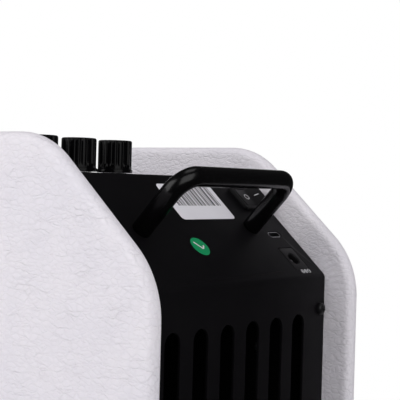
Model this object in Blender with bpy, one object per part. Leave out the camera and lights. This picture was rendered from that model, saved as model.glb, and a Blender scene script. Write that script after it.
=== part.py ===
"""Small desktop practice amplifier, in metres, +Z up, controls side towards +Y and speaker towards -Y.

A folded sheet-metal chassis stands between two cheeks of board wrapped in leatherette. The top carries
three knobs, two jacks and a button, the slanted panel behind it a carrying handle, a rocker switch and
two power sockets, and the rear wall six vent slots. A small loudspeaker fires through the front grille.
"""

import math

import bmesh
import bpy
from mathutils import Matrix, Vector

MM = 0.001

# Cheeks: wrapped boards whose outline sets the size of the whole object.
CHEEK_DEPTH = 160 * MM
CHEEK_HEIGHT = 150 * MM
CHEEK_THICKNESS = 7.5 * MM
CHEEK_EDGE_RADIUS = 3.4 * MM
CHEEK_CORNER_RADIUS = 28 * MM
TOP_BEND_RADIUS = 36 * MM
REAR_BEND_RADIUS = 38 * MM
GROUND_CLEARANCE = 8 * MM
SLANT = math.radians(43)
SLANT_DROP = 52.5 * MM
LEATHER = 1.2 * MM
TURN_IN = 22 * MM

# Chassis: how far the cheeks stand out past it on each side, and its folded sheet.
CHASSIS_WIDTH = 139 * MM
OVERHANG_BASE = 4 * MM
OVERHANG_REAR = 14 * MM
OVERHANG_SLANT = 14.5 * MM
OVERHANG_TOP = 15 * MM
OVERHANG_FRONT = 12 * MM
SHEET = 1.2 * MM
FOLD_RADIUS = 3 * MM
FLANGE_WIDTH = 14 * MM
FLANGE_SETBACK = 0.12 * MM

# Clearance between pieces that touch, and between a moving piece and its seat.
CLEAR = 0.3 * MM

# Vent slots in the rear wall.
SLOT_COUNT = 6
SLOT_WIDTH = 10 * MM
SLOT_PITCH = 18.5 * MM
SLOT_BELOW_FOLD = 16.5 * MM
SLOT_ABOVE_BASE = 22.2 * MM

# Screws: head radius, head height and shank radius of the two sizes used, and the share of each pan
# head's radius that is flat on top and of its height that is straight at the side.
SMALL_HEAD_RADIUS = 2.7 * MM
SMALL_HEAD_HEIGHT = 2.1 * MM
SMALL_SHANK_RADIUS = 1.5 * MM
LARGE_HEAD_RADIUS = 3.6 * MM
LARGE_HEAD_HEIGHT = 2.6 * MM
LARGE_SHANK_RADIUS = 2 * MM
HEAD_FLAT_SHARE = 0.55
HEAD_SIDE_SHARE = 0.4
SHELL_SCREW_EDGE = 4.2 * MM
SHELL_SCREW_BELOW_FOLD = 15.3 * MM
SHELL_SCREW_ABOVE_BASE = 19.4 * MM
SHELL_SCREW_LENGTH = 6 * MM
CHEEK_SCREW_SPACING = 64 * MM
CHEEK_SCREW_HEIGHT = 62 * MM
CHEEK_SCREW_GRIP = 3 * MM

# Feet under the base plate: their middles' distances from its sides, front and rear.
FOOT_TOP_RADIUS = 9.5 * MM
FOOT_BOTTOM_RADIUS = 8.5 * MM
FOOT_EDGE = 0.7 * MM
FOOT_SIDE_INSET = 11.2 * MM
FOOT_FRONT_INSET = 28 * MM
FOOT_REAR_INSET = 20 * MM
FOOT_RECESS_RADIUS = 4.4 * MM
FOOT_RECESS_DEPTH = 6 * MM
FOOT_SCREW_PROUD = 2.5 * MM

# Carrying handle on the slanted panel: distances run down the slope from the upper fold.
HANDLE_BAR_RADIUS = 4.15 * MM
HANDLE_SPACING = 79 * MM
HANDLE_RISE = 30.5 * MM
HANDLE_BEND_RADIUS = 9 * MM
HANDLE_DOWN = 33.8 * MM
HANDLE_THREAD_DEPTH = 9 * MM

# Rocker switch on the slanted panel: edge distances run inwards from the chassis's side.
SWITCH_EDGE = 11.8 * MM
SWITCH_DOWN = 15.3 * MM
SWITCH_FLANGE_HEIGHT = 1.6 * MM
SWITCH_FLANGE_LIP = 0.8 * MM
SWITCH_DEPTH = 14 * MM
SWITCH_WALL = 0.8 * MM
ROCKER_TILT = math.radians(12)
ROCKER_REACH = 7.7 * MM
ROCKER_LENGTH = 10.6 * MM
ROCKER_VALLEY = 2 * MM
ROCKER_KEEL_WIDTH = 5 * MM
ROCKER_KEEL_DEPTH = 3.5 * MM

# Power sockets on the slanted panel, soldered to a small board behind it.
SOCKET_DEPTH = 11 * MM
USB_EDGE = 14 * MM
USB_DOWN = 38.1 * MM
USB_WIDTH = 8.94 * MM
USB_HEIGHT = 3.26 * MM
USB_WALL = 0.3 * MM
USB_CAVITY = 7 * MM
USB_TONGUE_WIDTH = 6.7 * MM
USB_TONGUE_HEIGHT = 0.7 * MM
USB_TONGUE_LENGTH = 5 * MM
DC_EDGE = 14.9 * MM
DC_DOWN = 53.5 * MM
DC_WIDTH = 11.6 * MM
DC_LENGTH = 13.2 * MM
DC_BORE_RADIUS = 3.15 * MM
DC_BORE_DEPTH = 9 * MM
DC_PIN_RADIUS = 1 * MM
DC_PIN_LENGTH = 7.5 * MM
IO_BOARD_MARGIN = 3.5 * MM
BOARD = 1.6 * MM

# Knobs and potentiometers on the top panel.
KNOB_NAMES = ("gain", "tone", "volume")
KNOB_PITCH = 24 * MM
LAST_KNOB_EDGE = 19.5 * MM
KNOB_ROW_TO_FOLD = 21.5 * MM
KNOB_RADIUS = 7.6 * MM
KNOB_SKIRT_RADIUS = 8 * MM
KNOB_SKIRT_HEIGHT = 1.6 * MM
KNOB_HEIGHT = 14.4 * MM
KNOB_GAP = 0.5 * MM
KNOB_FLUTES = 18
FLUTE_FACETS = 3
KNOB_FLUTE_DEPTH = 0.55 * MM
KNOB_TOP_ROUND = 1 * MM
KNOB_RIM = 1.5 * MM
KNOB_CAVITY_HEIGHT = 4.6 * MM
SHAFT_RADIUS = 2.5 * MM
SHAFT_IN_KNOB = 6 * MM
BUSHING_RADIUS = 3.5 * MM
BUSHING_PROUD = 4 * MM
POT_WIDTH = 9.6 * MM
POT_LENGTH = 11 * MM
POT_HEIGHT = 7 * MM
POT_FLOOR = 1.2 * MM
NUT_ACROSS_FLATS = 10 * MM
NUT_HEIGHT = 2 * MM

# Jacks and button on the top panel.
JACK_ROW_TO_FOLD = 38.5 * MM
INPUT_JACK_EDGE = 17.5 * MM
INPUT_BORE_RADIUS = 3.25 * MM
INPUT_BORE_DEPTH = 24 * MM
INPUT_NOSE_RADIUS = 5.5 * MM
INPUT_BODY_RADIUS = 8 * MM
INPUT_BODY_DEPTH = 27 * MM
PHONES_JACK_EDGE = 35.5 * MM
PHONES_BORE_RADIUS = 1.8 * MM
PHONES_BORE_DEPTH = 13 * MM
PHONES_NOSE_RADIUS = 3 * MM
PHONES_BODY_RADIUS = 4.5 * MM
PHONES_BODY_DEPTH = 15 * MM
BUTTON_EDGE = 53.5 * MM
BUTTON_RADIUS = 3.5 * MM
BUTTON_PROUD = 0.4 * MM
BUTTON_COLLAR = 1.1 * MM
BUTTON_STEM_RADIUS = 1.5 * MM
BUTTON_TRAVEL = 0.8 * MM
CONTROL_BOARD_MARGIN = 12 * MM

# Front: grille tray, baffle and loudspeaker, whose depths run forwards from the baffle's face.
GRILLE_DEPTH = 7.7 * MM
GRILLE_CORNER_RADIUS = 4 * MM
GRILLE_BORDER = 3.2 * MM
GRILLE_RECESS = 1 * MM
GRILLE_HOLE_RADIUS = 4.5 * MM
GRILLE_HOLE_PITCH = 15 * MM
BAFFLE = 9 * MM
SPEAKER_DROP = 0.5 * MM
SPEAKER_FLANGE_RADIUS = 51 * MM
SPEAKER_FLANGE = 2 * MM
BASKET_RADIUS = 45.6 * MM
BASKET_WALL = 1.2 * MM
BASKET_DEPTH = 26 * MM
BASKET_FLOOR_RADIUS = 30 * MM
BASKET_WINDOWS = 6
BASKET_WINDOW_WIDTH = 16 * MM
BASKET_WINDOW_HEIGHT = 11 * MM
SURROUND_SEAT = 3 * MM
SURROUND_SEAT_WIDTH = 2.6 * MM
SURROUND_ROLL = 1.8 * MM
SURROUND_WALL = 0.6 * MM
CONE_DEPTH = 12.4 * MM
CONE_WALL = 0.7 * MM
COIL_RADIUS = 12.6 * MM
COIL_WALL = 0.5 * MM
COIL_LENGTH = 15 * MM
SPIDER_WALL = 0.6 * MM
SPIDER_WAVES = 2
SPIDER_WAVE = 1.2 * MM
DUST_CAP_RADIUS = 16 * MM
DUST_CAP_RISE = 3.6 * MM
DUST_CAP_WALL = 0.5 * MM
PLATE_RADIUS = 28 * MM
PLATE_HEIGHT = 4 * MM
MAGNET_RADIUS = 30 * MM
MAGNET_BORE_RADIUS = 15 * MM
MAGNET_HEIGHT = 12 * MM
COIL_GAP = 0.4 * MM

# Amplifier board across the base flanges.
AMP_BOARD_DEPTH = 52 * MM

# Facets round a circle, along a corner and round a large speaker part.
ROUND_FACETS = 16
SCREW_FACETS = 8
CORNER_STEPS = 5
SPEAKER_FACETS = 24
WELD = 1e-6


def clear_scene():
    """Start from an empty file."""
    for item in list(bpy.data.objects):
        bpy.data.objects.remove(item, do_unlink=True)


def make_material(name, colour, roughness, metallic=0.0):
    """A Principled material with the piece's colour and finish."""
    result = bpy.data.materials.new(name)
    result.use_nodes = True
    shader = result.node_tree.nodes["Principled BSDF"]
    shader.inputs["Base Color"].default_value = (*colour, 1.0)
    shader.inputs["Roughness"].default_value = roughness
    shader.inputs["Metallic"].default_value = metallic
    return result


def make_materials():
    """Every finish on the object, by name."""
    return {
        "leatherette": make_material("leatherette", (0.83, 0.81, 0.80), 0.55),
        "board": make_material("board", (0.50, 0.36, 0.22), 0.80),
        "powder_coat": make_material("powder_coat", (0.018, 0.018, 0.020), 0.42),
        "black_plastic": make_material("black_plastic", (0.015, 0.015, 0.017), 0.30),
        "gloss_plastic": make_material("gloss_plastic", (0.010, 0.010, 0.012), 0.18),
        "rubber": make_material("rubber", (0.02, 0.02, 0.02), 0.85),
        "steel": make_material("steel", (0.62, 0.62, 0.64), 0.30, 1.0),
        "black_steel": make_material("black_steel", (0.03, 0.03, 0.03), 0.35, 1.0),
        "ferrite": make_material("ferrite", (0.06, 0.06, 0.065), 0.70),
        "paper": make_material("paper", (0.05, 0.05, 0.05), 0.90),
        "copper": make_material("copper", (0.72, 0.36, 0.18), 0.35, 1.0),
        "circuit_board": make_material("circuit_board", (0.02, 0.16, 0.07), 0.50),
    }


def make_frame(name, location, rotation=(0.0, 0.0, 0.0)):
    """An empty that carries the pieces of one face of the object."""
    frame = bpy.data.objects.new(name, None)
    frame.location = location
    frame.rotation_euler = rotation
    bpy.context.collection.objects.link(frame)
    return frame


def add_object(name, bm, material=None, parent=None, location=(0.0, 0.0, 0.0), rotation=(0.0, 0.0, 0.0)):
    """Turn a bmesh into an object that is smooth on its round faces and sharp at its edges."""
    bmesh.ops.recalc_face_normals(bm, faces=bm.faces)
    mesh = bpy.data.meshes.new(name)
    bm.to_mesh(mesh)
    bm.free()
    mesh.shade_smooth()
    mesh.set_sharp_from_angle(angle=math.radians(35))
    result = bpy.data.objects.new(name, mesh)
    if material is not None:
        mesh.materials.append(material)
    result.parent = parent
    result.location = location
    result.rotation_euler = rotation
    bpy.context.collection.objects.link(result)
    return result


def as_tool(tool):
    """Mark an object as a cutter or an added flange that is not a piece by itself."""
    tool.hide_render = True
    tool.display_type = "WIRE"
    return tool


def combine(target, tool, operation):
    """Cut a tool out of a piece, or join it to the piece."""
    modifier = target.modifiers.new(tool.name, "BOOLEAN")
    modifier.operation = operation
    modifier.solver = "EXACT"
    modifier.object = as_tool(tool)


def circle(radius, height, count=ROUND_FACETS, centre=(0.0, 0.0)):
    """A ring of points round the Z axis."""
    points = []
    for step in range(count):
        angle = 2 * math.pi * (step + 0.5) / count
        across = centre[0] + radius * math.cos(angle)
        along = centre[1] + radius * math.sin(angle)
        points.append(Vector((across, along, height)))
    return points


def rounded_rectangle(width, length, radius, height, count=ROUND_FACETS, centre=(0.0, 0.0)):
    """A ring of points round a rectangle with rounded corners."""
    points = []
    per_corner = count // 4
    for corner, (side_x, side_y) in enumerate(((1, 1), (-1, 1), (-1, -1), (1, -1))):
        middle_x = centre[0] + side_x * (width / 2 - radius)
        middle_y = centre[1] + side_y * (length / 2 - radius)
        for step in range(per_corner):
            angle = math.pi / 2 * (corner + step / (per_corner - 1))
            across = middle_x + radius * math.cos(angle)
            along = middle_y + radius * math.sin(angle)
            points.append(Vector((across, along, height)))
    return points


def add_loft(bm, rings, closed=False):
    """Skin rings of equal count into one body, capped at its ends or closed on itself."""
    loops = [[bm.verts.new(point) for point in ring] for ring in rings]
    following = loops[1:] + loops[:1] if closed else loops[1:]
    for lower, upper in zip(loops, following):
        for index, corner in enumerate(lower):
            bm.faces.new((lower[index - 1], corner, upper[index], upper[index - 1]))
    if not closed:
        bm.faces.new(loops[0])
        bm.faces.new(loops[-1])


def loft(rings, closed=False):
    """A mesh of one lofted body."""
    bm = bmesh.new()
    add_loft(bm, rings, closed)
    return bm


def lathe(profile, count=ROUND_FACETS, ring=False):
    """Spin a profile of (radius, height) points about Z: a ring's profile closes on itself."""
    bm = bmesh.new()
    points = [bm.verts.new((radius, 0.0, height)) for radius, height in profile]
    following = points[1:] + points[:1] if ring else points[1:]
    edges = [bm.edges.new(pair) for pair in zip(points, following)]
    bmesh.ops.spin(
        bm, geom=points + edges, cent=(0, 0, 0), axis=(0, 0, 1), dvec=(0, 0, 0),
        angle=2 * math.pi, steps=count, use_merge=True)
    bmesh.ops.remove_doubles(bm, verts=bm.verts, dist=WELD)
    return bm


def slab(outline, start, end):
    """Extrude an outline in the Y-Z plane along X."""
    bm = bmesh.new()
    face = bm.faces.new([bm.verts.new((start, y, z)) for y, z in outline])
    grown = bmesh.ops.extrude_face_region(bm, geom=[face])
    moved = [item for item in grown["geom"] if isinstance(item, bmesh.types.BMVert)]
    bmesh.ops.translate(bm, verts=moved, vec=(end - start, 0, 0))
    return bm


def add_box(bm, low, high, turn=0.0):
    """Add a box between two corners, turned about Z."""
    middle = (Vector(low) + Vector(high)) / 2
    size = Vector(high) - Vector(low)
    place = Matrix.Rotation(turn, 4, "Z") @ Matrix.Translation(middle) @ Matrix.Diagonal((*size, 1))
    bmesh.ops.create_cube(bm, size=1, matrix=place)


def box(low, high):
    """A plain box between two corners."""
    bm = bmesh.new()
    add_box(bm, low, high)
    return bm


def offset_corners(corners, insets):
    """Move each side of a counter-clockwise outline inwards by its own distance."""
    moved = []
    for index, here in enumerate(corners):
        after = corners[(index + 1) % len(corners)]
        entry = (here - corners[index - 1]).normalized()
        leave = (after - here).normalized()
        shift_in = insets[index - 1]
        shift_out = insets[index]
        spread = entry.cross(leave)
        moved.append(here + (leave * shift_in - entry * shift_out) / spread)
    return moved


def fillet(before, here, after, radius, steps):
    """Points round one corner of a counter-clockwise outline."""
    back = (before - here).normalized()
    ahead = (after - here).normalized()
    half = back.angle(ahead) / 2
    centre = here + (back + ahead).normalized() * (radius / math.sin(half))
    start = here + back * (radius / math.tan(half)) - centre
    points = []
    for step in range(steps + 1):
        turn = Matrix.Rotation((math.pi - 2 * half) * step / steps, 2)
        points.append(centre + turn @ start)
    return points


def rounded_outline(corners, radii, steps=CORNER_STEPS):
    """A closed outline with its corners rounded; a radius of zero leaves a sharp corner."""
    points = []
    for index, here in enumerate(corners):
        if radii[index] <= 0:
            points.append(here)
            continue
        after = corners[(index + 1) % len(corners)]
        points += fillet(corners[index - 1], here, after, radii[index], steps)
    return points


def cheek_corners():
    """Cheek outline in the Y-Z plane: front foot, rear foot, rear bend, top bend, front top."""
    top = GROUND_CLEARANCE + CHEEK_HEIGHT
    run = SLANT_DROP / math.tan(SLANT)
    return [
        Vector((-CHEEK_DEPTH / 2, GROUND_CLEARANCE)),
        Vector((CHEEK_DEPTH / 2, GROUND_CLEARANCE)),
        Vector((CHEEK_DEPTH / 2, top - SLANT_DROP)),
        Vector((CHEEK_DEPTH / 2 - run, top)),
        Vector((-CHEEK_DEPTH / 2, top)),
    ]


def chassis_corners(inset=0.0):
    """Chassis outline in the Y-Z plane, in the same order as the cheek's corners."""
    overhangs = (OVERHANG_BASE, OVERHANG_REAR, OVERHANG_SLANT, OVERHANG_TOP, OVERHANG_FRONT)
    return offset_corners(cheek_corners(), [overhang + inset for overhang in overhangs])


BASE_Z = chassis_corners()[0].y
FRONT_Y = chassis_corners()[0].x
REAR_Y = chassis_corners()[1].x
REAR_FOLD = chassis_corners()[2]
TOP_FOLD = chassis_corners()[3]
TOP_Z = TOP_FOLD.y
SHELL_HALF = CHASSIS_WIDTH / 2 - CLEAR
PLATE_OUTER = SHELL_HALF - CLEAR
PLATE_INNER = PLATE_OUTER - SHEET
INNER_HALF = PLATE_INNER - CLEAR
WALL_INSET = SHEET + CLEAR
BAFFLE_FACE = FRONT_Y + GRILLE_DEPTH + CLEAR
BASE_FLANGE_Z = BASE_Z + WALL_INSET + FLANGE_SETBACK
KNOB_ROW_Y = TOP_FOLD.x - KNOB_ROW_TO_FOLD
JACK_ROW_Y = TOP_FOLD.x - JACK_ROW_TO_FOLD
LEFT_SIDE = -CHASSIS_WIDTH / 2
SWITCH_X = LEFT_SIDE + SWITCH_EDGE
USB_X = LEFT_SIDE + USB_EDGE
DC_X = LEFT_SIDE + DC_EDGE
INPUT_JACK_X = LEFT_SIDE + INPUT_JACK_EDGE
PHONES_JACK_X = LEFT_SIDE + PHONES_JACK_EDGE
BUTTON_X = LEFT_SIDE + BUTTON_EDGE
LAST_KNOB_X = CHASSIS_WIDTH / 2 - LAST_KNOB_EDGE
FOOT_X = SHELL_HALF - FOOT_SIDE_INSET
FOOT_FRONT_Y = FRONT_Y + FOOT_FRONT_INSET
FOOT_REAR_Y = REAR_Y - FOOT_REAR_INSET
SLOT_LENGTH = REAR_FOLD.y - SLOT_BELOW_FOLD - BASE_Z - SLOT_ABOVE_BASE
SPEAKER_Z = (BASE_Z + TOP_Z) / 2 - SPEAKER_DROP
CONTROL_BOARD_TOP = -WALL_INSET - POT_HEIGHT - CLEAR
ROCKER_RISE = ROCKER_VALLEY + ROCKER_REACH * math.tan(ROCKER_TILT)
ROCKER_SWEEP = math.hypot(ROCKER_REACH, ROCKER_RISE)
SWITCH_WELL = (2 * (ROCKER_SWEEP + CLEAR), ROCKER_LENGTH + 2 * CLEAR)
SWITCH_BODY = [side + 2 * SWITCH_WALL for side in SWITCH_WELL]
SWITCH_FLANGE = [side + 2 * SWITCH_FLANGE_LIP for side in SWITCH_BODY]


def cheek_ring(inset, across, side):
    """The cheek's outline, drawn in by an inset, at a distance from the middle of the object."""
    corners = offset_corners(cheek_corners(), [inset] * 5)
    corner = CHEEK_CORNER_RADIUS
    radii = [corner, corner, REAR_BEND_RADIUS, TOP_BEND_RADIUS, corner]
    rounded = [max(radius - inset, CLEAR) for radius in radii]
    return [Vector((side * across, y, z)) for y, z in rounded_outline(corners, rounded)]


def cheek_skin(depth, side, turns):
    """Rings round the cheek's rounded edge from its inner to its outer face, at a depth under the skin."""
    radius = CHEEK_EDGE_RADIUS - depth
    inner = CHASSIS_WIDTH / 2 + CHEEK_EDGE_RADIUS
    outer = CHASSIS_WIDTH / 2 + CHEEK_THICKNESS - CHEEK_EDGE_RADIUS
    rings = []
    for middle, first in ((inner, 0), (outer, 90)):
        for turn in turns:
            angle = math.radians(first + turn)
            inset = CHEEK_EDGE_RADIUS - radius * math.sin(angle)
            rings.append(cheek_ring(inset, middle - radius * math.cos(angle), side))
    return rings


def make_cheek(name, side, materials):
    """One cheek: a board, and the leatherette wrapped round it and turned in behind."""
    inner_face = CHASSIS_WIDTH / 2
    outside = [cheek_ring(TURN_IN, inner_face, side)] + cheek_skin(0.0, side, (0, 45, 90))
    inside = [cheek_ring(TURN_IN, inner_face + LEATHER, side)] + cheek_skin(LEATHER, side, (0, 90))
    leather = inside[::-1] + outside
    add_object(name + "_cheek_leather", loft(leather), materials["leatherette"])
    core = loft(cheek_skin(LEATHER + CLEAR, side, (0, 90)))
    board = add_object(name + "_cheek_board", core, materials["board"])
    holes = bmesh.new()
    for offset in (-CHEEK_SCREW_SPACING / 2, CHEEK_SCREW_SPACING / 2):
        start = inner_face + LEATHER
        end = start + CLEAR + CHEEK_SCREW_GRIP + CLEAR
        add_hole(holes, SMALL_SHANK_RADIUS + CLEAR, offset, CHEEK_SCREW_HEIGHT, side * start, side * end)
    combine(board, add_object(name + "_board_holes", holes), "DIFFERENCE")


def add_hole(bm, radius, y, z, start, end):
    """Add a round cutter along X."""
    low, high = sorted((start, end))
    rings = [[Vector((x, y + p.x, z + p.y)) for p in circle(radius, 0, SCREW_FACETS)] for x in (low, high)]
    add_loft(bm, rings)


def make_side_plate(name, side, materials):
    """A sheet side wall with flanges for the rear wall and the base, and holes for their screws."""
    corners = chassis_corners(WALL_INSET)
    bend = FOLD_RADIUS - WALL_INSET
    outline = rounded_outline(corners, [0, 0, bend, bend, 0], 3)
    plate = add_object(name + "_side_plate", slab(outline, side * PLATE_INNER, side * PLATE_OUTER),
                       materials["powder_coat"])
    back = REAR_Y - WALL_INSET - FLANGE_SETBACK
    floor = BASE_FLANGE_Z
    root = side * (PLATE_INNER + SHEET / 2)
    tip = side * (PLATE_OUTER - FLANGE_WIDTH)
    low, high = sorted((root, tip))
    upper, lower = [REAR_FOLD.y - below for below in shell_screw_rows()]
    margin = FLANGE_WIDTH / 2
    rear = box((low, back - SHEET, lower - margin), (high, back, upper + margin))
    combine(plate, add_object(name + "_rear_flange", rear), "UNION")
    start = BAFFLE_FACE + BAFFLE + CLEAR
    base = box((low, start, floor), (high, FOOT_REAR_Y + margin, floor + SHEET))
    combine(plate, add_object(name + "_base_flange", base), "UNION")
    holes = bmesh.new()
    for offset in (-CHEEK_SCREW_SPACING / 2, CHEEK_SCREW_SPACING / 2):
        add_hole(holes, SMALL_SHANK_RADIUS + CLEAR, offset, CHEEK_SCREW_HEIGHT,
                 side * (PLATE_INNER - SHEET), side * (PLATE_OUTER + SHEET))
    for y in (FOOT_FRONT_Y, FOOT_REAR_Y):
        reach = LARGE_SHANK_RADIUS + CLEAR
        heights = (floor - SHEET, floor + 2 * SHEET)
        add_loft(holes, [circle(reach, z, SCREW_FACETS, (side * FOOT_X, y)) for z in heights])
    for below in shell_screw_rows():
        reach = SMALL_SHANK_RADIUS + CLEAR
        flat = circle(reach, 0, SCREW_FACETS, (side * (SHELL_HALF - SHELL_SCREW_EDGE), REAR_FOLD.y - below))
        add_loft(holes, [[Vector((p.x, y, p.y)) for p in flat] for y in (back - 2 * SHEET, back + SHEET)])
    combine(plate, add_object(name + "_plate_holes", holes), "DIFFERENCE")


def shell_screw_rows():
    """How far each row of shell screws lies below the rear fold."""
    return (SHELL_SCREW_BELOW_FOLD, REAR_FOLD.y - BASE_Z - SHELL_SCREW_ABOVE_BASE)


def knob_places():
    """Each control's name and place along the row of knobs."""
    first = LAST_KNOB_X - (len(KNOB_NAMES) - 1) * KNOB_PITCH
    return [(name, first + index * KNOB_PITCH) for index, name in enumerate(KNOB_NAMES)]


def make_shell(frames, materials):
    """The sheet folded over the top, the slanted panel and the rear wall, with its openings."""
    outer = chassis_corners()
    inner = chassis_corners(SHEET)
    skin = [Vector((REAR_Y, BASE_Z))]
    skin += fillet(outer[1], outer[2], outer[3], FOLD_RADIUS, 3)
    skin += fillet(outer[2], outer[3], outer[4], FOLD_RADIUS, 3)
    skin += [Vector((FRONT_Y, TOP_Z)), Vector((FRONT_Y, TOP_Z - SHEET))]
    lining = [Vector((REAR_Y - SHEET, BASE_Z))]
    lining += fillet(inner[1], inner[2], inner[3], FOLD_RADIUS - SHEET, 3)
    lining += fillet(inner[2], inner[3], inner[4], FOLD_RADIUS - SHEET, 3)
    outline = skin + lining[::-1]
    shell = add_object("rear_shell", slab(outline, -SHELL_HALF, SHELL_HALF), materials["powder_coat"])
    heights = (-2 * SHEET, SHEET)

    top = bmesh.new()
    for _, x in knob_places():
        add_loft(top, [circle(BUSHING_RADIUS + CLEAR, h, ROUND_FACETS, (x, KNOB_ROW_Y)) for h in heights])
    for x, radius in ((INPUT_JACK_X, INPUT_NOSE_RADIUS), (PHONES_JACK_X, PHONES_NOSE_RADIUS),
                      (BUTTON_X, BUTTON_RADIUS)):
        add_loft(top, [circle(radius + CLEAR, h, ROUND_FACETS, (x, JACK_ROW_Y)) for h in heights])
    combine(shell, add_object("top_openings", top, parent=frames["top"]), "DIFFERENCE")

    slanted = bmesh.new()
    for x in (-HANDLE_SPACING / 2, HANDLE_SPACING / 2):
        centre = (x, HANDLE_DOWN)
        add_loft(slanted, [circle(LARGE_SHANK_RADIUS + CLEAR, h, SCREW_FACETS, centre) for h in heights])
    gap = 2 * CLEAR
    cutouts = (
        (SWITCH_X, SWITCH_DOWN, SWITCH_BODY[0] + gap, SWITCH_BODY[1] + gap, SWITCH_WALL),
        (USB_X, USB_DOWN, USB_WIDTH + gap, USB_HEIGHT + gap, USB_HEIGHT / 2),
        (DC_X, DC_DOWN, DC_WIDTH + gap, DC_LENGTH + gap, DC_PIN_RADIUS),
    )
    for x, down, width, length, radius in cutouts:
        size = (width, length, radius)
        add_loft(slanted, [rounded_rectangle(*size, h, ROUND_FACETS, (x, down)) for h in heights])
    combine(shell, add_object("slant_openings", slanted, parent=frames["slant"]), "DIFFERENCE")

    rear = bmesh.new()
    for index in range(SLOT_COUNT):
        x = (index - (SLOT_COUNT - 1) / 2) * SLOT_PITCH
        centre = (x, SLOT_BELOW_FOLD + SLOT_LENGTH / 2)
        size = (SLOT_WIDTH, SLOT_LENGTH, SLOT_WIDTH / 2 - WELD)
        add_loft(rear, [rounded_rectangle(*size, h, ROUND_FACETS, centre) for h in heights])
    for side in (-1, 1):
        for below in shell_screw_rows():
            centre = (side * (SHELL_HALF - SHELL_SCREW_EDGE), below)
            add_loft(rear, [circle(SMALL_SHANK_RADIUS + CLEAR, h, SCREW_FACETS, centre) for h in heights])
    combine(shell, add_object("rear_openings", rear, parent=frames["rear"]), "DIFFERENCE")


def make_base_plate(materials):
    """The flat plate under the chassis, with a hole over each foot."""
    plate = add_object("base_plate", box((-SHELL_HALF, FRONT_Y, BASE_Z),
                                         (SHELL_HALF, REAR_Y - WALL_INSET, BASE_Z + SHEET)),
                       materials["powder_coat"])
    holes = bmesh.new()
    for x in (-FOOT_X, FOOT_X):
        for y in (FOOT_FRONT_Y, FOOT_REAR_Y):
            heights = (BASE_Z - SHEET, BASE_Z + 2 * SHEET)
            add_loft(holes, [circle(LARGE_SHANK_RADIUS + CLEAR, z, SCREW_FACETS, (x, y)) for z in heights])
    combine(plate, add_object("base_holes", holes), "DIFFERENCE")


def make_screw(name, head_radius, head_height, shank_radius, length, material, **place):
    """A pan-head screw pointing down its own Z axis, with its origin under the head."""
    flat = head_radius * HEAD_FLAT_SHARE
    side = head_height * HEAD_SIDE_SHARE
    profile = [
        (0, head_height), (flat, head_height), (head_radius, side), (head_radius, 0), (shank_radius, 0),
        (shank_radius, -length), (0, -length),
    ]
    add_object(name, lathe(profile, SCREW_FACETS), material, **place)


def make_feet(materials):
    """Four rubber feet, each held by a screw that also holds the base plate to the side walls."""
    height = BASE_Z - CLEAR
    hole = LARGE_SHANK_RADIUS + CLEAR
    profile = [
        (FOOT_RECESS_RADIUS, 0), (FOOT_BOTTOM_RADIUS - FOOT_EDGE, 0), (FOOT_BOTTOM_RADIUS, FOOT_EDGE),
        (FOOT_TOP_RADIUS, height), (hole, height), (hole, FOOT_RECESS_DEPTH),
        (FOOT_RECESS_RADIUS, FOOT_RECESS_DEPTH),
    ]
    length = BASE_Z + 2 * SHEET + CLEAR + FOOT_SCREW_PROUD - FOOT_RECESS_DEPTH
    places = [(x, y) for y in (FOOT_FRONT_Y, FOOT_REAR_Y) for x in (-FOOT_X, FOOT_X)]
    for number, (x, y) in enumerate(places, 1):
        foot = lathe(profile, ROUND_FACETS, ring=True)
        add_object(f"foot_{number}", foot, materials["rubber"], location=(x, y, 0))
        make_screw(f"foot_screw_{number}", LARGE_HEAD_RADIUS, LARGE_HEAD_HEIGHT, LARGE_SHANK_RADIUS, length,
                   materials["steel"], location=(x, y, FOOT_RECESS_DEPTH - CLEAR), rotation=(math.pi, 0, 0))


def make_chassis_screws(frames, materials):
    """Screws through the rear wall into the side flanges, and through the side walls into the cheeks."""
    number = 0
    for below in shell_screw_rows():
        for side in (-1, 1):
            number += 1
            make_screw(f"shell_screw_{number}", SMALL_HEAD_RADIUS, SMALL_HEAD_HEIGHT, SMALL_SHANK_RADIUS,
                       SHELL_SCREW_LENGTH, materials["black_steel"], parent=frames["rear"],
                       location=(side * (SHELL_HALF - SHELL_SCREW_EDGE), below, CLEAR))
    head = PLATE_INNER - CLEAR
    length = CHASSIS_WIDTH / 2 + LEATHER + CLEAR + CHEEK_SCREW_GRIP - head
    number = 0
    for offset in (-CHEEK_SCREW_SPACING / 2, CHEEK_SCREW_SPACING / 2):
        for side in (-1, 1):
            number += 1
            make_screw(f"cheek_screw_{number}", SMALL_HEAD_RADIUS, SMALL_HEAD_HEIGHT, SMALL_SHANK_RADIUS,
                       length, materials["steel"], location=(side * head, offset, CHEEK_SCREW_HEIGHT),
                       rotation=(0, -side * math.pi / 2, 0))


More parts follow.
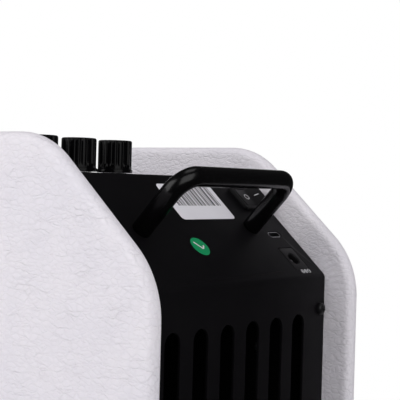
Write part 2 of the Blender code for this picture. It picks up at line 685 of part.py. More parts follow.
def make_handle(frames, materials):
    """A round bar bent into a bridge over the slanted panel, with a threaded hole in each leg."""
    half = HANDLE_SPACING / 2
    hole = LARGE_SHANK_RADIUS + CLEAR
    shoulder = HANDLE_RISE - HANDLE_BEND_RADIUS
    centres = [(-half, CLEAR, math.pi), (-half, shoulder, math.pi)]
    for side, start in ((-1, math.pi), (1, math.pi / 2)):
        middle = side * (half - HANDLE_BEND_RADIUS)
        for step in range(1, CORNER_STEPS + 1) if side < 0 else range(CORNER_STEPS):
            turn = start - math.pi / 2 * step / CORNER_STEPS
            x = middle + HANDLE_BEND_RADIUS * math.cos(turn)
            centres.append((x, shoulder + HANDLE_BEND_RADIUS * math.sin(turn), turn))
    centres += [(half, shoulder, 0), (half, CLEAR, 0)]

    def ring(x, height, facing, radius):
        outward = Vector((math.cos(facing), 0, math.sin(facing)))
        points = []
        for step in range(ROUND_FACETS):
            angle = 2 * math.pi * step / ROUND_FACETS
            offset = outward * math.cos(angle) + Vector((0, 1, 0)) * math.sin(angle)
            points.append(Vector((x, 0, height)) + offset * radius)
        return points

    depth = CLEAR + HANDLE_THREAD_DEPTH
    rings = [ring(-half, depth, math.pi, hole), ring(-half, CLEAR, math.pi, hole)]
    rings += [ring(*centre, HANDLE_BAR_RADIUS) for centre in centres]
    rings += [ring(half, CLEAR, 0, hole), ring(half, depth, 0, hole)]
    add_object("carry_handle", loft(rings), materials["black_plastic"], frames["slant"],
               (0, HANDLE_DOWN, 0))
    for number, x in enumerate((-half, half), 1):
        make_screw(f"handle_screw_{number}", LARGE_HEAD_RADIUS, LARGE_HEAD_HEIGHT, LARGE_SHANK_RADIUS,
                   WALL_INSET + HANDLE_THREAD_DEPTH - CLEAR, materials["steel"], parent=frames["slant"],
                   location=(x, HANDLE_DOWN, -WALL_INSET), rotation=(math.pi, 0, 0))


def make_switch(frames, materials):
    """A rocker switch: its flanged body in the panel and its rocker, which rests with one end down."""
    top = CLEAR + SWITCH_FLANGE_HEIGHT
    floor = -ROCKER_KEEL_DEPTH - 2 * SWITCH_WALL
    chamfer = SWITCH_FLANGE_HEIGHT / 4
    crown = [side - 2 * chamfer for side in SWITCH_FLANGE]
    rings = [
        rounded_rectangle(*SWITCH_WELL, SWITCH_WALL / 2, floor),
        rounded_rectangle(*SWITCH_WELL, SWITCH_WALL / 2, top),
        rounded_rectangle(*crown, SWITCH_WALL, top),
        rounded_rectangle(*SWITCH_FLANGE, SWITCH_WALL, top - chamfer),
        rounded_rectangle(*SWITCH_FLANGE, SWITCH_WALL, CLEAR),
        rounded_rectangle(*SWITCH_BODY, SWITCH_WALL, CLEAR),
        rounded_rectangle(*SWITCH_BODY, SWITCH_WALL, -SWITCH_DEPTH),
    ]
    place = (SWITCH_X, SWITCH_DOWN, 0)
    add_object("switch_body", loft(rings), materials["black_plastic"], frames["slant"], place)

    lip = math.asin(ROCKER_RISE / ROCKER_SWEEP)
    turns = [lip * step / 3 for step in range(4)]
    right = [Vector((ROCKER_SWEEP * math.cos(turn), ROCKER_SWEEP * math.sin(turn))) for turn in turns]
    left = [Vector((-point.x, point.y)) for point in right[::-1]]
    keel_half = ROCKER_KEEL_WIDTH / 2
    keel = [Vector((-keel_half, -ROCKER_KEEL_DEPTH)), Vector((keel_half, -ROCKER_KEEL_DEPTH))]
    outline = right + [Vector((0, ROCKER_VALLEY))] + left + keel
    half = ROCKER_LENGTH / 2
    rings = [[Vector((point.x, y, point.y)) for point in outline] for y in (-half, half)]
    add_object("switch_rocker", loft(rings), materials["black_plastic"], frames["slant"], place,
               (0, ROCKER_TILT, 0))


def make_sockets(frames, materials):
    """The two power sockets and the small board that they are soldered to."""
    back = CLEAR - SOCKET_DEPTH
    inner_width = USB_WIDTH - 2 * USB_WALL
    inner_height = USB_HEIGHT - 2 * USB_WALL
    mouth = -CLEAR
    floor = mouth - USB_CAVITY
    tongue = floor + USB_TONGUE_LENGTH
    tongue_round = USB_TONGUE_HEIGHT / 3
    rings = [
        rounded_rectangle(USB_TONGUE_WIDTH, USB_TONGUE_HEIGHT, tongue_round, tongue),
        rounded_rectangle(USB_TONGUE_WIDTH, USB_TONGUE_HEIGHT, tongue_round, floor),
        rounded_rectangle(inner_width, inner_height, inner_height / 2 - WELD, floor),
        rounded_rectangle(inner_width, inner_height, inner_height / 2 - WELD, mouth),
        rounded_rectangle(USB_WIDTH, USB_HEIGHT, USB_HEIGHT / 2 - WELD, mouth),
        rounded_rectangle(USB_WIDTH, USB_HEIGHT, USB_HEIGHT / 2 - WELD, back),
    ]
    add_object("usb_socket", loft(rings), materials["steel"], frames["slant"], (USB_X, USB_DOWN, 0))

    pin_base = -DC_BORE_DEPTH
    rings = [
        circle(DC_PIN_RADIUS / 2, pin_base + DC_PIN_LENGTH),
        circle(DC_PIN_RADIUS, pin_base + DC_PIN_LENGTH - DC_PIN_RADIUS / 2),
        circle(DC_PIN_RADIUS, pin_base),
        circle(DC_BORE_RADIUS, pin_base),
        circle(DC_BORE_RADIUS, 0),
        rounded_rectangle(DC_WIDTH, DC_LENGTH, DC_PIN_RADIUS, 0),
        rounded_rectangle(DC_WIDTH, DC_LENGTH, DC_PIN_RADIUS, back),
    ]
    add_object("dc_socket", loft(rings), materials["black_plastic"], frames["slant"], (DC_X, DC_DOWN, 0))

    low_x = min(USB_X - USB_WIDTH / 2, DC_X - DC_WIDTH / 2) - IO_BOARD_MARGIN
    high_x = max(USB_X + USB_WIDTH / 2, DC_X + DC_WIDTH / 2) + IO_BOARD_MARGIN
    low_s = USB_DOWN - USB_HEIGHT / 2 - IO_BOARD_MARGIN
    high_s = DC_DOWN + DC_LENGTH / 2
    top = -SOCKET_DEPTH
    add_object("io_board", box((low_x, low_s, top - BOARD), (high_x, high_s, top)),
               materials["circuit_board"], frames["slant"])


def fluted_ring(radius, height):
    """A ring with rounded ribs and narrower grooves between them."""
    points = []
    count = KNOB_FLUTES * FLUTE_FACETS
    for step in range(count):
        angle = 2 * math.pi * (step + 0.5) / count
        groove = KNOB_FLUTE_DEPTH if step % FLUTE_FACETS == 0 else 0.0
        reach = radius - groove
        points.append(Vector((reach * math.cos(angle), reach * math.sin(angle), height)))
    return points


def make_knob(name, x, frames, materials):
    """One control: a fluted knob on a shaft, and the potentiometer and nut that hold it in the panel."""
    place = (x, KNOB_ROW_Y, 0)
    count = KNOB_FLUTES * FLUTE_FACETS
    bore = SHAFT_RADIUS + CLEAR
    cavity = KNOB_RADIUS - KNOB_RIM
    ceiling = KNOB_GAP + KNOB_CAVITY_HEIGHT
    top = KNOB_GAP + KNOB_HEIGHT
    skirt = KNOB_GAP + KNOB_SKIRT_HEIGHT
    shaft_top = ceiling + SHAFT_IN_KNOB
    rings = [
        circle(bore, shaft_top + CLEAR, count),
        circle(bore, ceiling, count),
        circle(cavity, ceiling, count),
        circle(cavity, KNOB_GAP, count),
        circle(KNOB_SKIRT_RADIUS, KNOB_GAP, count),
        circle(KNOB_SKIRT_RADIUS, skirt, count),
        fluted_ring(KNOB_RADIUS, skirt),
        fluted_ring(KNOB_RADIUS, top - KNOB_TOP_ROUND),
        circle(KNOB_RADIUS - KNOB_TOP_ROUND, top, count),
    ]
    add_object(name + "_knob", loft(rings), materials["gloss_plastic"], frames["top"], place)

    pot_top = -WALL_INSET
    pot_bottom = pot_top - POT_HEIGHT
    shaft_bottom = pot_bottom + POT_FLOOR + CLEAR
    profile = [(0, shaft_top), (SHAFT_RADIUS, shaft_top), (SHAFT_RADIUS, shaft_bottom), (0, shaft_bottom)]
    add_object(name + "_pot_shaft", lathe(profile), materials["steel"], frames["top"], place)

    rings = [
        circle(bore, pot_bottom + POT_FLOOR),
        circle(bore, BUSHING_PROUD),
        circle(BUSHING_RADIUS, BUSHING_PROUD),
        circle(BUSHING_RADIUS, pot_top),
        rounded_rectangle(POT_WIDTH, POT_LENGTH, POT_FLOOR, pot_top),
        rounded_rectangle(POT_WIDTH, POT_LENGTH, POT_FLOOR, pot_bottom),
    ]
    add_object(name + "_pot_body", loft(rings), materials["steel"], frames["top"], place)

    corner = NUT_ACROSS_FLATS / 2 / math.cos(math.pi / 6)
    hole = BUSHING_RADIUS + CLEAR
    sides = 6
    rings = [circle(corner, CLEAR, sides), circle(corner, CLEAR + NUT_HEIGHT, sides)]
    nut = add_object(name + "_pot_nut", loft(rings), materials["steel"], frames["top"], place)
    bore_rings = [circle(hole, h, ROUND_FACETS, (x, KNOB_ROW_Y)) for h in (-NUT_HEIGHT, 2 * NUT_HEIGHT)]
    combine(nut, add_object(name + "_nut_bore", loft(bore_rings), parent=frames["top"]), "DIFFERENCE")


def make_jack(name, x, nose, body, bore, bore_depth, body_depth, frames, materials):
    """A jack under the top panel, whose nose stands flush in its hole."""
    shoulder = -WALL_INSET
    profile = [
        (0, -bore_depth), (bore, -bore_depth), (bore, 0), (nose, 0), (nose, shoulder), (body, shoulder),
        (body, -body_depth), (0, -body_depth),
    ]
    add_object(name, lathe(profile), materials["black_plastic"], frames["top"], (x, JACK_ROW_Y, 0))


def make_top_controls(frames, materials):
    """Knobs, jacks, button and the board that the knobs' potentiometers stand on."""
    for name, x in knob_places():
        make_knob(name, x, frames, materials)
    make_jack("input_jack", INPUT_JACK_X, INPUT_NOSE_RADIUS, INPUT_BODY_RADIUS, INPUT_BORE_RADIUS,
              INPUT_BORE_DEPTH, INPUT_BODY_DEPTH, frames, materials)
    make_jack("phones_jack", PHONES_JACK_X, PHONES_NOSE_RADIUS, PHONES_BODY_RADIUS, PHONES_BORE_RADIUS,
              PHONES_BORE_DEPTH, PHONES_BODY_DEPTH, frames, materials)
    collar = -WALL_INSET
    stem_end = CONTROL_BOARD_TOP + BUTTON_TRAVEL + CLEAR
    profile = [
        (0, BUTTON_PROUD), (BUTTON_RADIUS - BUTTON_PROUD, BUTTON_PROUD), (BUTTON_RADIUS, 0),
        (BUTTON_RADIUS, collar), (BUTTON_RADIUS + BUTTON_COLLAR, collar),
        (BUTTON_RADIUS + BUTTON_COLLAR, collar - BUTTON_COLLAR),
        (BUTTON_STEM_RADIUS, collar - BUTTON_COLLAR), (BUTTON_STEM_RADIUS, stem_end), (0, stem_end),
    ]
    add_object("mode_button", lathe(profile), materials["gloss_plastic"], frames["top"],
               (BUTTON_X, JACK_ROW_Y, 0))
    low = (BUTTON_X - BUTTON_RADIUS - BUTTON_COLLAR - CLEAR, JACK_ROW_Y - CONTROL_BOARD_MARGIN,
           CONTROL_BOARD_TOP - BOARD)
    high = (LAST_KNOB_X + CONTROL_BOARD_MARGIN, KNOB_ROW_Y + CONTROL_BOARD_MARGIN, CONTROL_BOARD_TOP)
    add_object("control_board", box(low, high), materials["circuit_board"], frames["top"])


def make_front(materials):
    """The grille tray, the baffle behind it and the amplifier board across the base flanges."""
    width = 2 * INNER_HALF
    low = BASE_Z + WALL_INSET
    high = TOP_Z - WALL_INSET
    centre = (0, (low + high) / 2)
    height = high - low

    def upright(ring, y):
        return [Vector((point.x, y, point.y)) for point in ring]

    def tray_ring(inset, y):
        size = (width - 2 * inset, height - 2 * inset)
        return upright(rounded_rectangle(*size, GRILLE_CORNER_RADIUS - inset, 0, ROUND_FACETS, centre), y)

    rim = FRONT_Y + GRILLE_DEPTH
    edge = SHEET / 2
    field = FRONT_Y + GRILLE_RECESS
    step = GRILLE_BORDER - SHEET
    rings = [
        tray_ring(step, field + SHEET), tray_ring(step, FRONT_Y + SHEET), tray_ring(SHEET, FRONT_Y + SHEET),
        tray_ring(SHEET, rim), tray_ring(0, rim), tray_ring(0, FRONT_Y + edge), tray_ring(edge, FRONT_Y),
        tray_ring(GRILLE_BORDER, FRONT_Y), tray_ring(GRILLE_BORDER, field),
    ]
    grille = add_object("grille", loft(rings), materials["powder_coat"])
    margin = GRILLE_BORDER + SHEET + GRILLE_HOLE_RADIUS
    columns = math.floor((width / 2 - margin) / GRILLE_HOLE_PITCH)
    rows = math.floor((height / 2 - margin) / GRILLE_HOLE_PITCH)
    depths = (FRONT_Y, field + 2 * SHEET)
    holes = bmesh.new()
    for column in range(-columns, columns + 1):
        for row in range(-rows, rows + 1):
            place = (column * GRILLE_HOLE_PITCH, centre[1] + row * GRILLE_HOLE_PITCH)
            add_loft(holes, [upright(circle(GRILLE_HOLE_RADIUS, 0, SCREW_FACETS, place), y) for y in depths])
    combine(grille, add_object("grille_holes", holes), "DIFFERENCE")

    count = 2 * ROUND_FACETS
    hole = BASKET_RADIUS + CLEAR
    outline = rounded_rectangle(width, height, BASKET_WALL, 0, count, centre)
    opening = circle(hole, 0, count, (0, SPEAKER_Z))
    back = BAFFLE_FACE + BAFFLE
    rings = [upright(outline, BAFFLE_FACE), upright(outline, back), upright(opening, back),
             upright(opening, BAFFLE_FACE)]
    add_object("front_baffle", loft(rings, closed=True), materials["board"])

    seat = BASE_FLANGE_Z + SHEET + CLEAR
    add_object("amplifier_board", box((-INNER_HALF, -AMP_BOARD_DEPTH / 2, seat),
                                      (INNER_HALF, AMP_BOARD_DEPTH / 2, seat + BOARD)),
               materials["circuit_board"])


def make_speaker(frames, materials):
    """The loudspeaker on its own axis: heights run forwards from the face of the baffle."""
    axis = frames["speaker"]

    def turned(name, profile, material, ring=True):
        return add_object(name, lathe(profile, SPEAKER_FACETS, ring), materials[material], axis)

    flange = CLEAR + SPEAKER_FLANGE
    floor = -BASKET_DEPTH
    well = BASKET_RADIUS - BASKET_WALL
    seat_edge = well - SURROUND_SEAT_WIDTH
    basket = turned("speaker_basket", [
        (SPEAKER_FLANGE_RADIUS, CLEAR), (SPEAKER_FLANGE_RADIUS, flange), (well, flange),
        (well, -SURROUND_SEAT), (seat_edge, -SURROUND_SEAT),
        (BASKET_FLOOR_RADIUS - BASKET_WALL, floor + BASKET_WALL),
        (MAGNET_BORE_RADIUS, floor + BASKET_WALL), (MAGNET_BORE_RADIUS, floor), (BASKET_FLOOR_RADIUS, floor),
        (BASKET_RADIUS, -SURROUND_SEAT - BASKET_WALL), (BASKET_RADIUS, CLEAR),
    ], "black_steel")
    windows = bmesh.new()
    middle = (floor - SURROUND_SEAT) / 2
    half = BASKET_WINDOW_WIDTH / 2
    low_corner = (BASKET_FLOOR_RADIUS - 2 * BASKET_WALL, -half, middle - BASKET_WINDOW_HEIGHT / 2)
    high_corner = (SPEAKER_FLANGE_RADIUS, half, middle + BASKET_WINDOW_HEIGHT / 2)
    for index in range(BASKET_WINDOWS):
        add_box(windows, low_corner, high_corner, 2 * math.pi * index / BASKET_WINDOWS)
    combine(basket, add_object("basket_windows", windows, parent=axis), "DIFFERENCE")

    roll_outer = well - CLEAR - (SURROUND_SEAT_WIDTH - 2 * CLEAR)
    roll_middle = roll_outer - SURROUND_ROLL
    low = CLEAR - SURROUND_SEAT
    high = low + SURROUND_WALL
    arc = [math.pi * step / CORNER_STEPS for step in range(CORNER_STEPS + 1)]
    outer = [(roll_middle + SURROUND_ROLL * math.cos(a), high + SURROUND_ROLL * math.sin(a)) for a in arc]
    thin = SURROUND_ROLL - SURROUND_WALL
    inner = [(roll_middle + thin * math.cos(a), low + thin * math.sin(a)) for a in arc[::-1]]
    rim = well - CLEAR
    foot = roll_middle - SURROUND_ROLL
    turned("speaker_surround", [(rim, low), (rim, high)] + outer + [(foot, low)] + inner, "rubber")

    cone_edge = foot - CLEAR
    neck = COIL_RADIUS + CLEAR
    neck_low = low - CONE_DEPTH
    turned("speaker_cone", [(neck, neck_low), (cone_edge, low), (cone_edge, low + CONE_WALL),
                            (neck, neck_low + CONE_WALL)], "paper")

    def cone_face(radius):
        return neck_low + CONE_WALL + CONE_DEPTH * (radius - neck) / (cone_edge - neck)

    cap_foot = cone_face(DUST_CAP_RADIUS) + CLEAR
    quarter = [math.pi / 2 * step / 3 for step in range(4)]
    dome = [(DUST_CAP_RADIUS * math.sin(a), cap_foot + DUST_CAP_RISE * math.cos(a)) for a in quarter]
    small = DUST_CAP_RADIUS - DUST_CAP_WALL
    rise = DUST_CAP_RISE - DUST_CAP_WALL
    under = [(small * math.sin(a), cap_foot + rise * math.cos(a)) for a in quarter[::-1]]
    turned("speaker_dust_cap", dome + under, "paper", ring=False)

    coil_top = neck_low + CONE_WALL
    coil_bore = COIL_RADIUS - COIL_WALL
    turned("voice_coil", [(coil_bore, coil_top - COIL_LENGTH), (COIL_RADIUS, coil_top - COIL_LENGTH),
                          (COIL_RADIUS, coil_top), (coil_bore, coil_top)], "copper")

    spider_in = COIL_RADIUS + CLEAR
    spider_out = BASKET_FLOOR_RADIUS - BASKET_WALL - CLEAR
    base = floor + BASKET_WALL + CLEAR
    waves = []
    steps = SPIDER_WAVES * 2
    for step in range(steps + 1):
        share = step / steps
        lift = SPIDER_WAVE * (0.5 - 0.5 * math.cos(2 * math.pi * SPIDER_WAVES * share))
        waves.append((spider_in + (spider_out - spider_in) * share, base + lift))
    upper = [(radius, height + SPIDER_WALL) for radius, height in waves[::-1]]
    turned("speaker_spider", waves + upper, "paper")

    plate_top = floor - CLEAR
    plate_bottom = plate_top - PLATE_HEIGHT
    plate_bore = COIL_RADIUS + COIL_GAP
    turned("speaker_front_plate", [(plate_bore, plate_bottom), (PLATE_RADIUS, plate_bottom),
                                   (PLATE_RADIUS, plate_top), (plate_bore, plate_top)], "steel")
    magnet_top = plate_bottom - CLEAR
    magnet_bottom = magnet_top - MAGNET_HEIGHT
    turned("speaker_magnet", [(MAGNET_BORE_RADIUS, magnet_bottom), (MAGNET_RADIUS, magnet_bottom),
                              (MAGNET_RADIUS, magnet_top), (MAGNET_BORE_RADIUS, magnet_top)], "ferrite")
    yoke_top = magnet_bottom - CLEAR
    yoke_bottom = yoke_top - PLATE_HEIGHT
    pole = coil_bore - COIL_GAP
    turned("speaker_yoke", [(0, plate_top), (pole, plate_top), (pole, yoke_top), (PLATE_RADIUS, yoke_top),
                            (PLATE_RADIUS, yoke_bottom), (0, yoke_bottom)], "steel", ring=False)


def make_frames():
    """Empties on the top, the slanted panel, the rear wall and the speaker's axis."""
    return {
        "top": make_frame("top_frame", (0, 0, TOP_Z)),
        "slant": make_frame("slant_frame", (0, TOP_FOLD.x, TOP_FOLD.y), (-SLANT, 0, 0)),
        "rear": make_frame("rear_frame", (0, REAR_Y, REAR_FOLD.y), (-math.pi / 2, 0, 0)),
        "speaker": make_frame("speaker_frame", (0, BAFFLE_FACE, SPEAKER_Z), (math.pi / 2, 0, 0)),
    }


def main():
    clear_scene()
    materials = make_materials()
    frames = make_frames()
    for name, side in (("right", 1), ("left", -1)):
        make_cheek(name, side, materials)
        make_side_plate(name, side, materials)
    make_shell(frames, materials)
    make_base_plate(materials)
    make_feet(materials)
    make_chassis_screws(frames, materials)
    make_handle(frames, materials)
    make_switch(frames, materials)
    make_sockets(frames, materials)
    make_top_controls(frames, materials)
    make_front(materials)
    make_speaker(frames, materials)


main()
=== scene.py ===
"""Looks of a small desktop practice amplifier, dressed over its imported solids.

Two leatherette cheeks hold a folded black chassis. Everything is in metres, +Z up, with the controls side
towards +Y and the speaker towards -Y.
"""

import math

import bmesh
import bpy
from bmesh.types import BMEdge, BMVert
from mathutils import Matrix, Vector, noise


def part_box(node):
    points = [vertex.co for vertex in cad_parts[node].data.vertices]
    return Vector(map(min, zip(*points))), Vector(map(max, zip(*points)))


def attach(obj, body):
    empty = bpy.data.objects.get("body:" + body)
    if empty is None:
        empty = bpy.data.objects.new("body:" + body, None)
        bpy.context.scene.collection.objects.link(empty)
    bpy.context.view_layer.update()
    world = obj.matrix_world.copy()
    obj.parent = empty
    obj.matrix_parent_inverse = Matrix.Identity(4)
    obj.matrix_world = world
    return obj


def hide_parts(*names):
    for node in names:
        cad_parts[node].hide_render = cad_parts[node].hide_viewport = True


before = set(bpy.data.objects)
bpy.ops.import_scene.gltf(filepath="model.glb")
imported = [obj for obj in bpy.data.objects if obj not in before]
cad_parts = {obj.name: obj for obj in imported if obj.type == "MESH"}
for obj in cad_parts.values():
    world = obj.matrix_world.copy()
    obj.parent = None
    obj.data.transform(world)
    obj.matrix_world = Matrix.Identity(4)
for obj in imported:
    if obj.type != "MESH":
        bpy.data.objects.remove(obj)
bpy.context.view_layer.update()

MM = 0.001
CHASSIS = "chassis"

# Distances under which two points count as one, and the least gap that is drawn.
TOUCH = 1e-7
NEAR = 1e-6
HAIR = 0.01 * MM

# Cheek outline in the Y-Z plane, in millimetres: front foot, rear foot, rear bend, top bend and front top.
CHEEK_CORNERS = [(-80, 8), (80, 8), (80, 105.5), (23.7006, 158), (-80, 158)]
CHEEK_RADII = [28, 28, 38, 36, 28]
CHEEK_INNER = 69.5 * MM
CHEEK_THICKNESS = 7.5 * MM
CHEEK_EDGE = 3.4 * MM
CHEEK_EDGE_STEPS = 7
BEND_SPACING = 0.5 * MM
RUN_SPACING = 3 * MM
WIRE_WELD = 1e-5
CAP_SIDES = 50

# Leatherette: its thickness, the width turned in, the rings of its mesh and its gathers.
WRAP = 1.1 * MM
TURN_IN = 22 * MM
TURN_IN_STEP = 1.16 * MM
OUTER_INSETS = (2 * MM, 4 * MM, 8 * MM)
PUCKER = 0.6 * MM
PUCKER_FROM = 2 * MM
PUCKER_TO = 26 * MM
PUCKER_PITCH = 2.7 * MM
PITCH_LINE = 9 * MM
PUCKER_RISE = (2.5 * MM, 8 * MM)
PUCKER_POWER = 1.6
PUCKER_LEAST = 0.35
WANDER = 0.5

# Chassis folds: the outer corner lines, the sheet, and the gap under whatever sits on it.
SLANT = math.radians(43)
TOP_Z = 143 * MM
BASE_Z = 12 * MM
FRONT_Y = -68 * MM
REAR_Y = 66 * MM
TOP_FOLD_Y = 18.5251 * MM
REAR_FOLD_Z = 98.729 * MM
SHELL_HALF = 69.2 * MM
SHEET = 1.2 * MM
SHEET_EDGE = 0.15 * MM
FOLD_RADIUS = 3 * MM
FOLD_STEPS = 8
FOLD_STRIP = 0.8 * MM
SEAT = 0.3 * MM

# Rear wall.
SLOT_COUNT = 6
SLOT_WIDTH = 10 * MM
SLOT_LENGTH = 48 * MM
SLOT_PITCH = 18.5 * MM
SLOT_TOP = 16.5 * MM
SCREW_HOLE = 1.8 * MM
CROSS_ARM = (2.9 * MM, 0.62 * MM)

# Slanted panel: X along the fold and distance down the slope.
HANDLE_HALF = 39.5 * MM
HANDLE_DOWN = 33.8 * MM
HANDLE_RISE = 30.5 * MM
HANDLE_BEND = 9 * MM
HANDLE_BAR = 4.15 * MM
HANDLE_EDGE = 0.4 * MM
HANDLE_HOLE = 2.3 * MM
SWITCH_AT = (-57.7 * MM, 15.3 * MM)
SWITCH_FLANGE = (20.83 * MM, 14.4 * MM)
SWITCH_BODY = (19.23 * MM, 12.8 * MM)
SWITCH_RIM = 1.6 * MM
SWITCH_RISE = 1.6 * MM
SWITCH_DEPTH = 6.7 * MM
SWITCH_EDGE = 0.45 * MM
ROCKER_TILT = math.radians(12)
ROCKER_REACH = 7.7 * MM
ROCKER_SWEEP = 8.5155 * MM
ROCKER_VALLEY = 2 * MM
ROCKER_LENGTH = 10.6 * MM
ROCKER_KEEL = (2.5 * MM, -3.5 * MM)
ROCKER_EDGE = 0.35 * MM
DISH_STEPS = 8
DISH_POWER = 1.35
OFF_RING = (1.6 * MM, 0.3 * MM)
OFF_REACH = 2.9 * MM
ON_BAR = (2.8 * MM, 0.36 * MM)
ON_REACH = 4.0 * MM
USB_AT = (-55.5 * MM, 38.1 * MM)
USB_SIZE = (8.94 * MM, 3.26 * MM)
USB_DEPTH = 11 * MM
USB_POCKET = 7 * MM
USB_WALL = 0.3 * MM
USB_EDGE = 0.06 * MM
USB_RIM = 0.2 * MM
TONGUE_SIZE = (6.7 * MM, 0.7 * MM)
CONTACT_SIZE = (0.26 * MM, 0.05 * MM)
CONTACT_COUNT = 12
CONTACT_PITCH = 0.5 * MM
CONTACT_OFFSET = 0.36 * MM
DC_AT = (-54.6 * MM, 53.5 * MM)
DC_SIZE = (11.6 * MM, 13.2 * MM)
DC_BORE = 3.15 * MM
DC_DEPTH = 10.7 * MM

# Top panel; the profiles are in millimetres.
KNOB_ROW_Y = -2.975 * MM
JACK_ROW_Y = -19.975 * MM
KNOB_PLACES = {"gain": 2 * MM, "tone": 26 * MM, "volume": 50 * MM}
KNOB_HOLE = 3.8 * MM
INPUT_HOLE = 5.8 * MM
PHONES_HOLE = 3.3 * MM
BUTTON_HOLE = 3.8 * MM
KNOB_SKIRT = [(0, 11.6), (2.8, 11.6), (2.8, 5.1), (6.1, 5.1), (6.1, 0.5), (7.85, 0.5), (8.0, 0.65),
              (8.0, 1.75), (7.9, 1.95), (7.6, 2.1)]
KNOB_CROWN = [(6.2, 14.9), (6.0, 14.75), (0, 14.6)]
KNOB_SIDE = 7.6
KNOB_FOOT = 2.1
KNOB_SHOULDER = 14.1
WALL_STEP = 0.6
WALL_STEPS = 19
KNOB_ROUND = 0.8
KNOB_TOP = 14.9 * MM
POINTER_SIZE = (5.4 * MM, 0.9 * MM)
POINTER_REACH = 3.1 * MM
KNOB_FLUTES = 18
FLUTE_INNER = 6.3 * MM
FLUTE_FOOT = 2.05 * MM
FLUTE_DEPTH = 0.62 * MM
FLUTE_SHARE = 0.62
FLUTE_OUTER = 7.1 * MM
FLUTE_RUN_OUT = (2.4 * MM, 3.9 * MM)
FLUTE_CURVE = 0.9 * MM
FLUTE_DROP = 0.6 * MM
DIAL_LOWEST = 240
DIAL_STEP = 30
DIAL_TICKS = 11
TICK_REACH = 9.6 * MM
NUMBER_REACH = 11.6 * MM
NOTCH_SIZE = (1.2 * MM, 0.9 * MM)
INPUT_X = -52 * MM
PHONES_X = -34 * MM
BUTTON_X = -16 * MM
# Each jack's bore, its mouth, the lip's inner and outer edge, the body, the bore's depth and the body's.
INPUT_JACK = (3.25, 3.6, 5.3, 5.5, 8, 24, 27)
PHONES_JACK = (1.8, 2.0, 2.85, 3, 4.5, 13, 15)
BUTTON_PROFILE = [(0, 0.25), (2.2, 0.3), (2.9, 0.4), (3.25, 0.3), (3.45, 0.1), (3.5, -0.1), (3.5, -1.5),
                  (4.6, -1.5), (4.6, -2.6), (1.5, -2.6)]

# Stickers and prints.
PRINT = 0.03 * MM
FILM = 0.09 * MM
LABEL_LOW = (-34.4 * MM, 5.8 * MM)
LABEL_HIGH = (5.4 * MM, 27.7 * MM)
LABEL_CORNER = 2.0 * MM
BARS_FROM = -31 * MM
BARS_TO = 1.2 * MM
BARS_DOWN = 13.2 * MM
BAR_LENGTH = 12.2 * MM
BAR_MODULE = 0.42 * MM
BAR_MODULES = (1, 2, 1, 3, 1, 1, 2)
GAP_MODULES = (2, 1, 3, 1, 2)
STICKER_AT = (8.5 * MM, 43.4 * MM)
STICKER_RADIUS = 5.0 * MM
TICK_WIDTH = 0.8 * MM
POLARITY_AT = (-56 * MM, 61.5 * MM)
POLARITY_SPACING = 2.75 * MM
POLARITY_RING = 1.1 * MM
POLARITY_LINE = 0.24 * MM

# Front and underside.
GRILLE_BORDER = 3.2 * MM
GRILLE_RECESS = 1.0 * MM
GRILLE_CORNER = 4 * MM
GRILLE_EDGE = 0.6 * MM
MESH_PITCH = 3.6 * MM
MESH_ROW = MESH_PITCH * math.sqrt(3) / 2
MESH_HOLE = 1.25 * MM
MESH_SHEET = 0.7 * MM
MESH_TUCK = 1.0 * MM

# Rear screws and feet are numbered from one to four.
NUMBERS = range(1, 5)

# The three panels' own frames: X along the chassis, Y down the face, Z out of it.
FACE_REAR = Matrix.Rotation(-math.pi / 2, 4, "X")
TOP_PLACE = Matrix.Translation((0, 0, TOP_Z))
SLANT_PLACE = Matrix.Translation((0, TOP_FOLD_Y, TOP_Z)) @ Matrix.Rotation(-SLANT, 4, "X")
REAR_PLACE = Matrix.Translation((0, REAR_Y, REAR_FOLD_Z)) @ FACE_REAR

# Studio.
CAMERA_AT = Vector((0.38274, 0.32164, 0.13848))
CAMERA_RIGHT = Vector((-0.58808, 0.80837, 0.02649))
CAMERA_UP = Vector((0.00551, -0.02874, 0.99957))
CAMERA_AHEAD = Vector((-0.80879, -0.58797, -0.01245))
LENS = 100
SENSOR = 36
WHITE = (1.0, 1.0, 1.0)
ROOM_LIGHT = (0.41, 0.41, 0.42)
ROOM_MIRRORED = (0.03, 0.03, 0.03)
FLOOR_RADIUS = 4.0
FLOOR_FADE = (0.15, 0.24)
BACKDROP_FADE = (0.93, 0.98)
LAMP_AIM = Vector((0, 0.02, 0.10))
LAMP_DISTANCE = 1.2
# Each lamp's name, direction from the object, side and power.
LAMPS = (
    ("key_softbox", (0.82, -0.43, 0.38), 1.1, 7.0),
    ("fill_softbox", (0.37, 0.83, 0.42), 1.1, 5.2),
    ("overhead_softbox", (-0.10, 0.10, 0.98), 0.6, 1.0),
)


def smooth_step(low, high, value):
    """0 below low, 1 above high and an eased ramp between them."""
    share = min(1.0, max(0.0, (value - low) / (high - low)))
    return share * share * (3 - 2 * share)


def in_mm(points):
    """Profile points given in millimetres, in metres."""
    return [(radius * MM, height * MM) for radius, height in points]


def quarter(steps):
    """The angles of a quarter turn cut in even steps, without the first."""
    return [math.pi / 2 * step / steps for step in range(1, steps + 1)]


# Node helpers and the effects that several finishes share.


def feed(tree, socket, value):
    """Link another node's output to an input, or set a plain value on it."""
    if isinstance(value, bpy.types.NodeSocket):
        tree.links.new(value, socket)
    else:
        socket.default_value = value


def add_node(tree, kind, values=None, **settings):
    """Add a shader node with its settings; each input takes a plain value or another node's output."""
    made = tree.nodes.new("ShaderNode" + kind)
    for key, value in settings.items():
        setattr(made, key, value)
    for socket, value in (values or {}).items():
        feed(tree, made.inputs[socket], value)
    return made


def object_place(tree):
    """The Object coordinates."""
    return add_node(tree, "TexCoord").outputs["Object"]


def math_node(tree, operation, first, second):
    """A Math node on sockets or plain numbers."""
    return add_node(tree, "Math", {0: first, 1: second}, operation=operation).outputs[0]


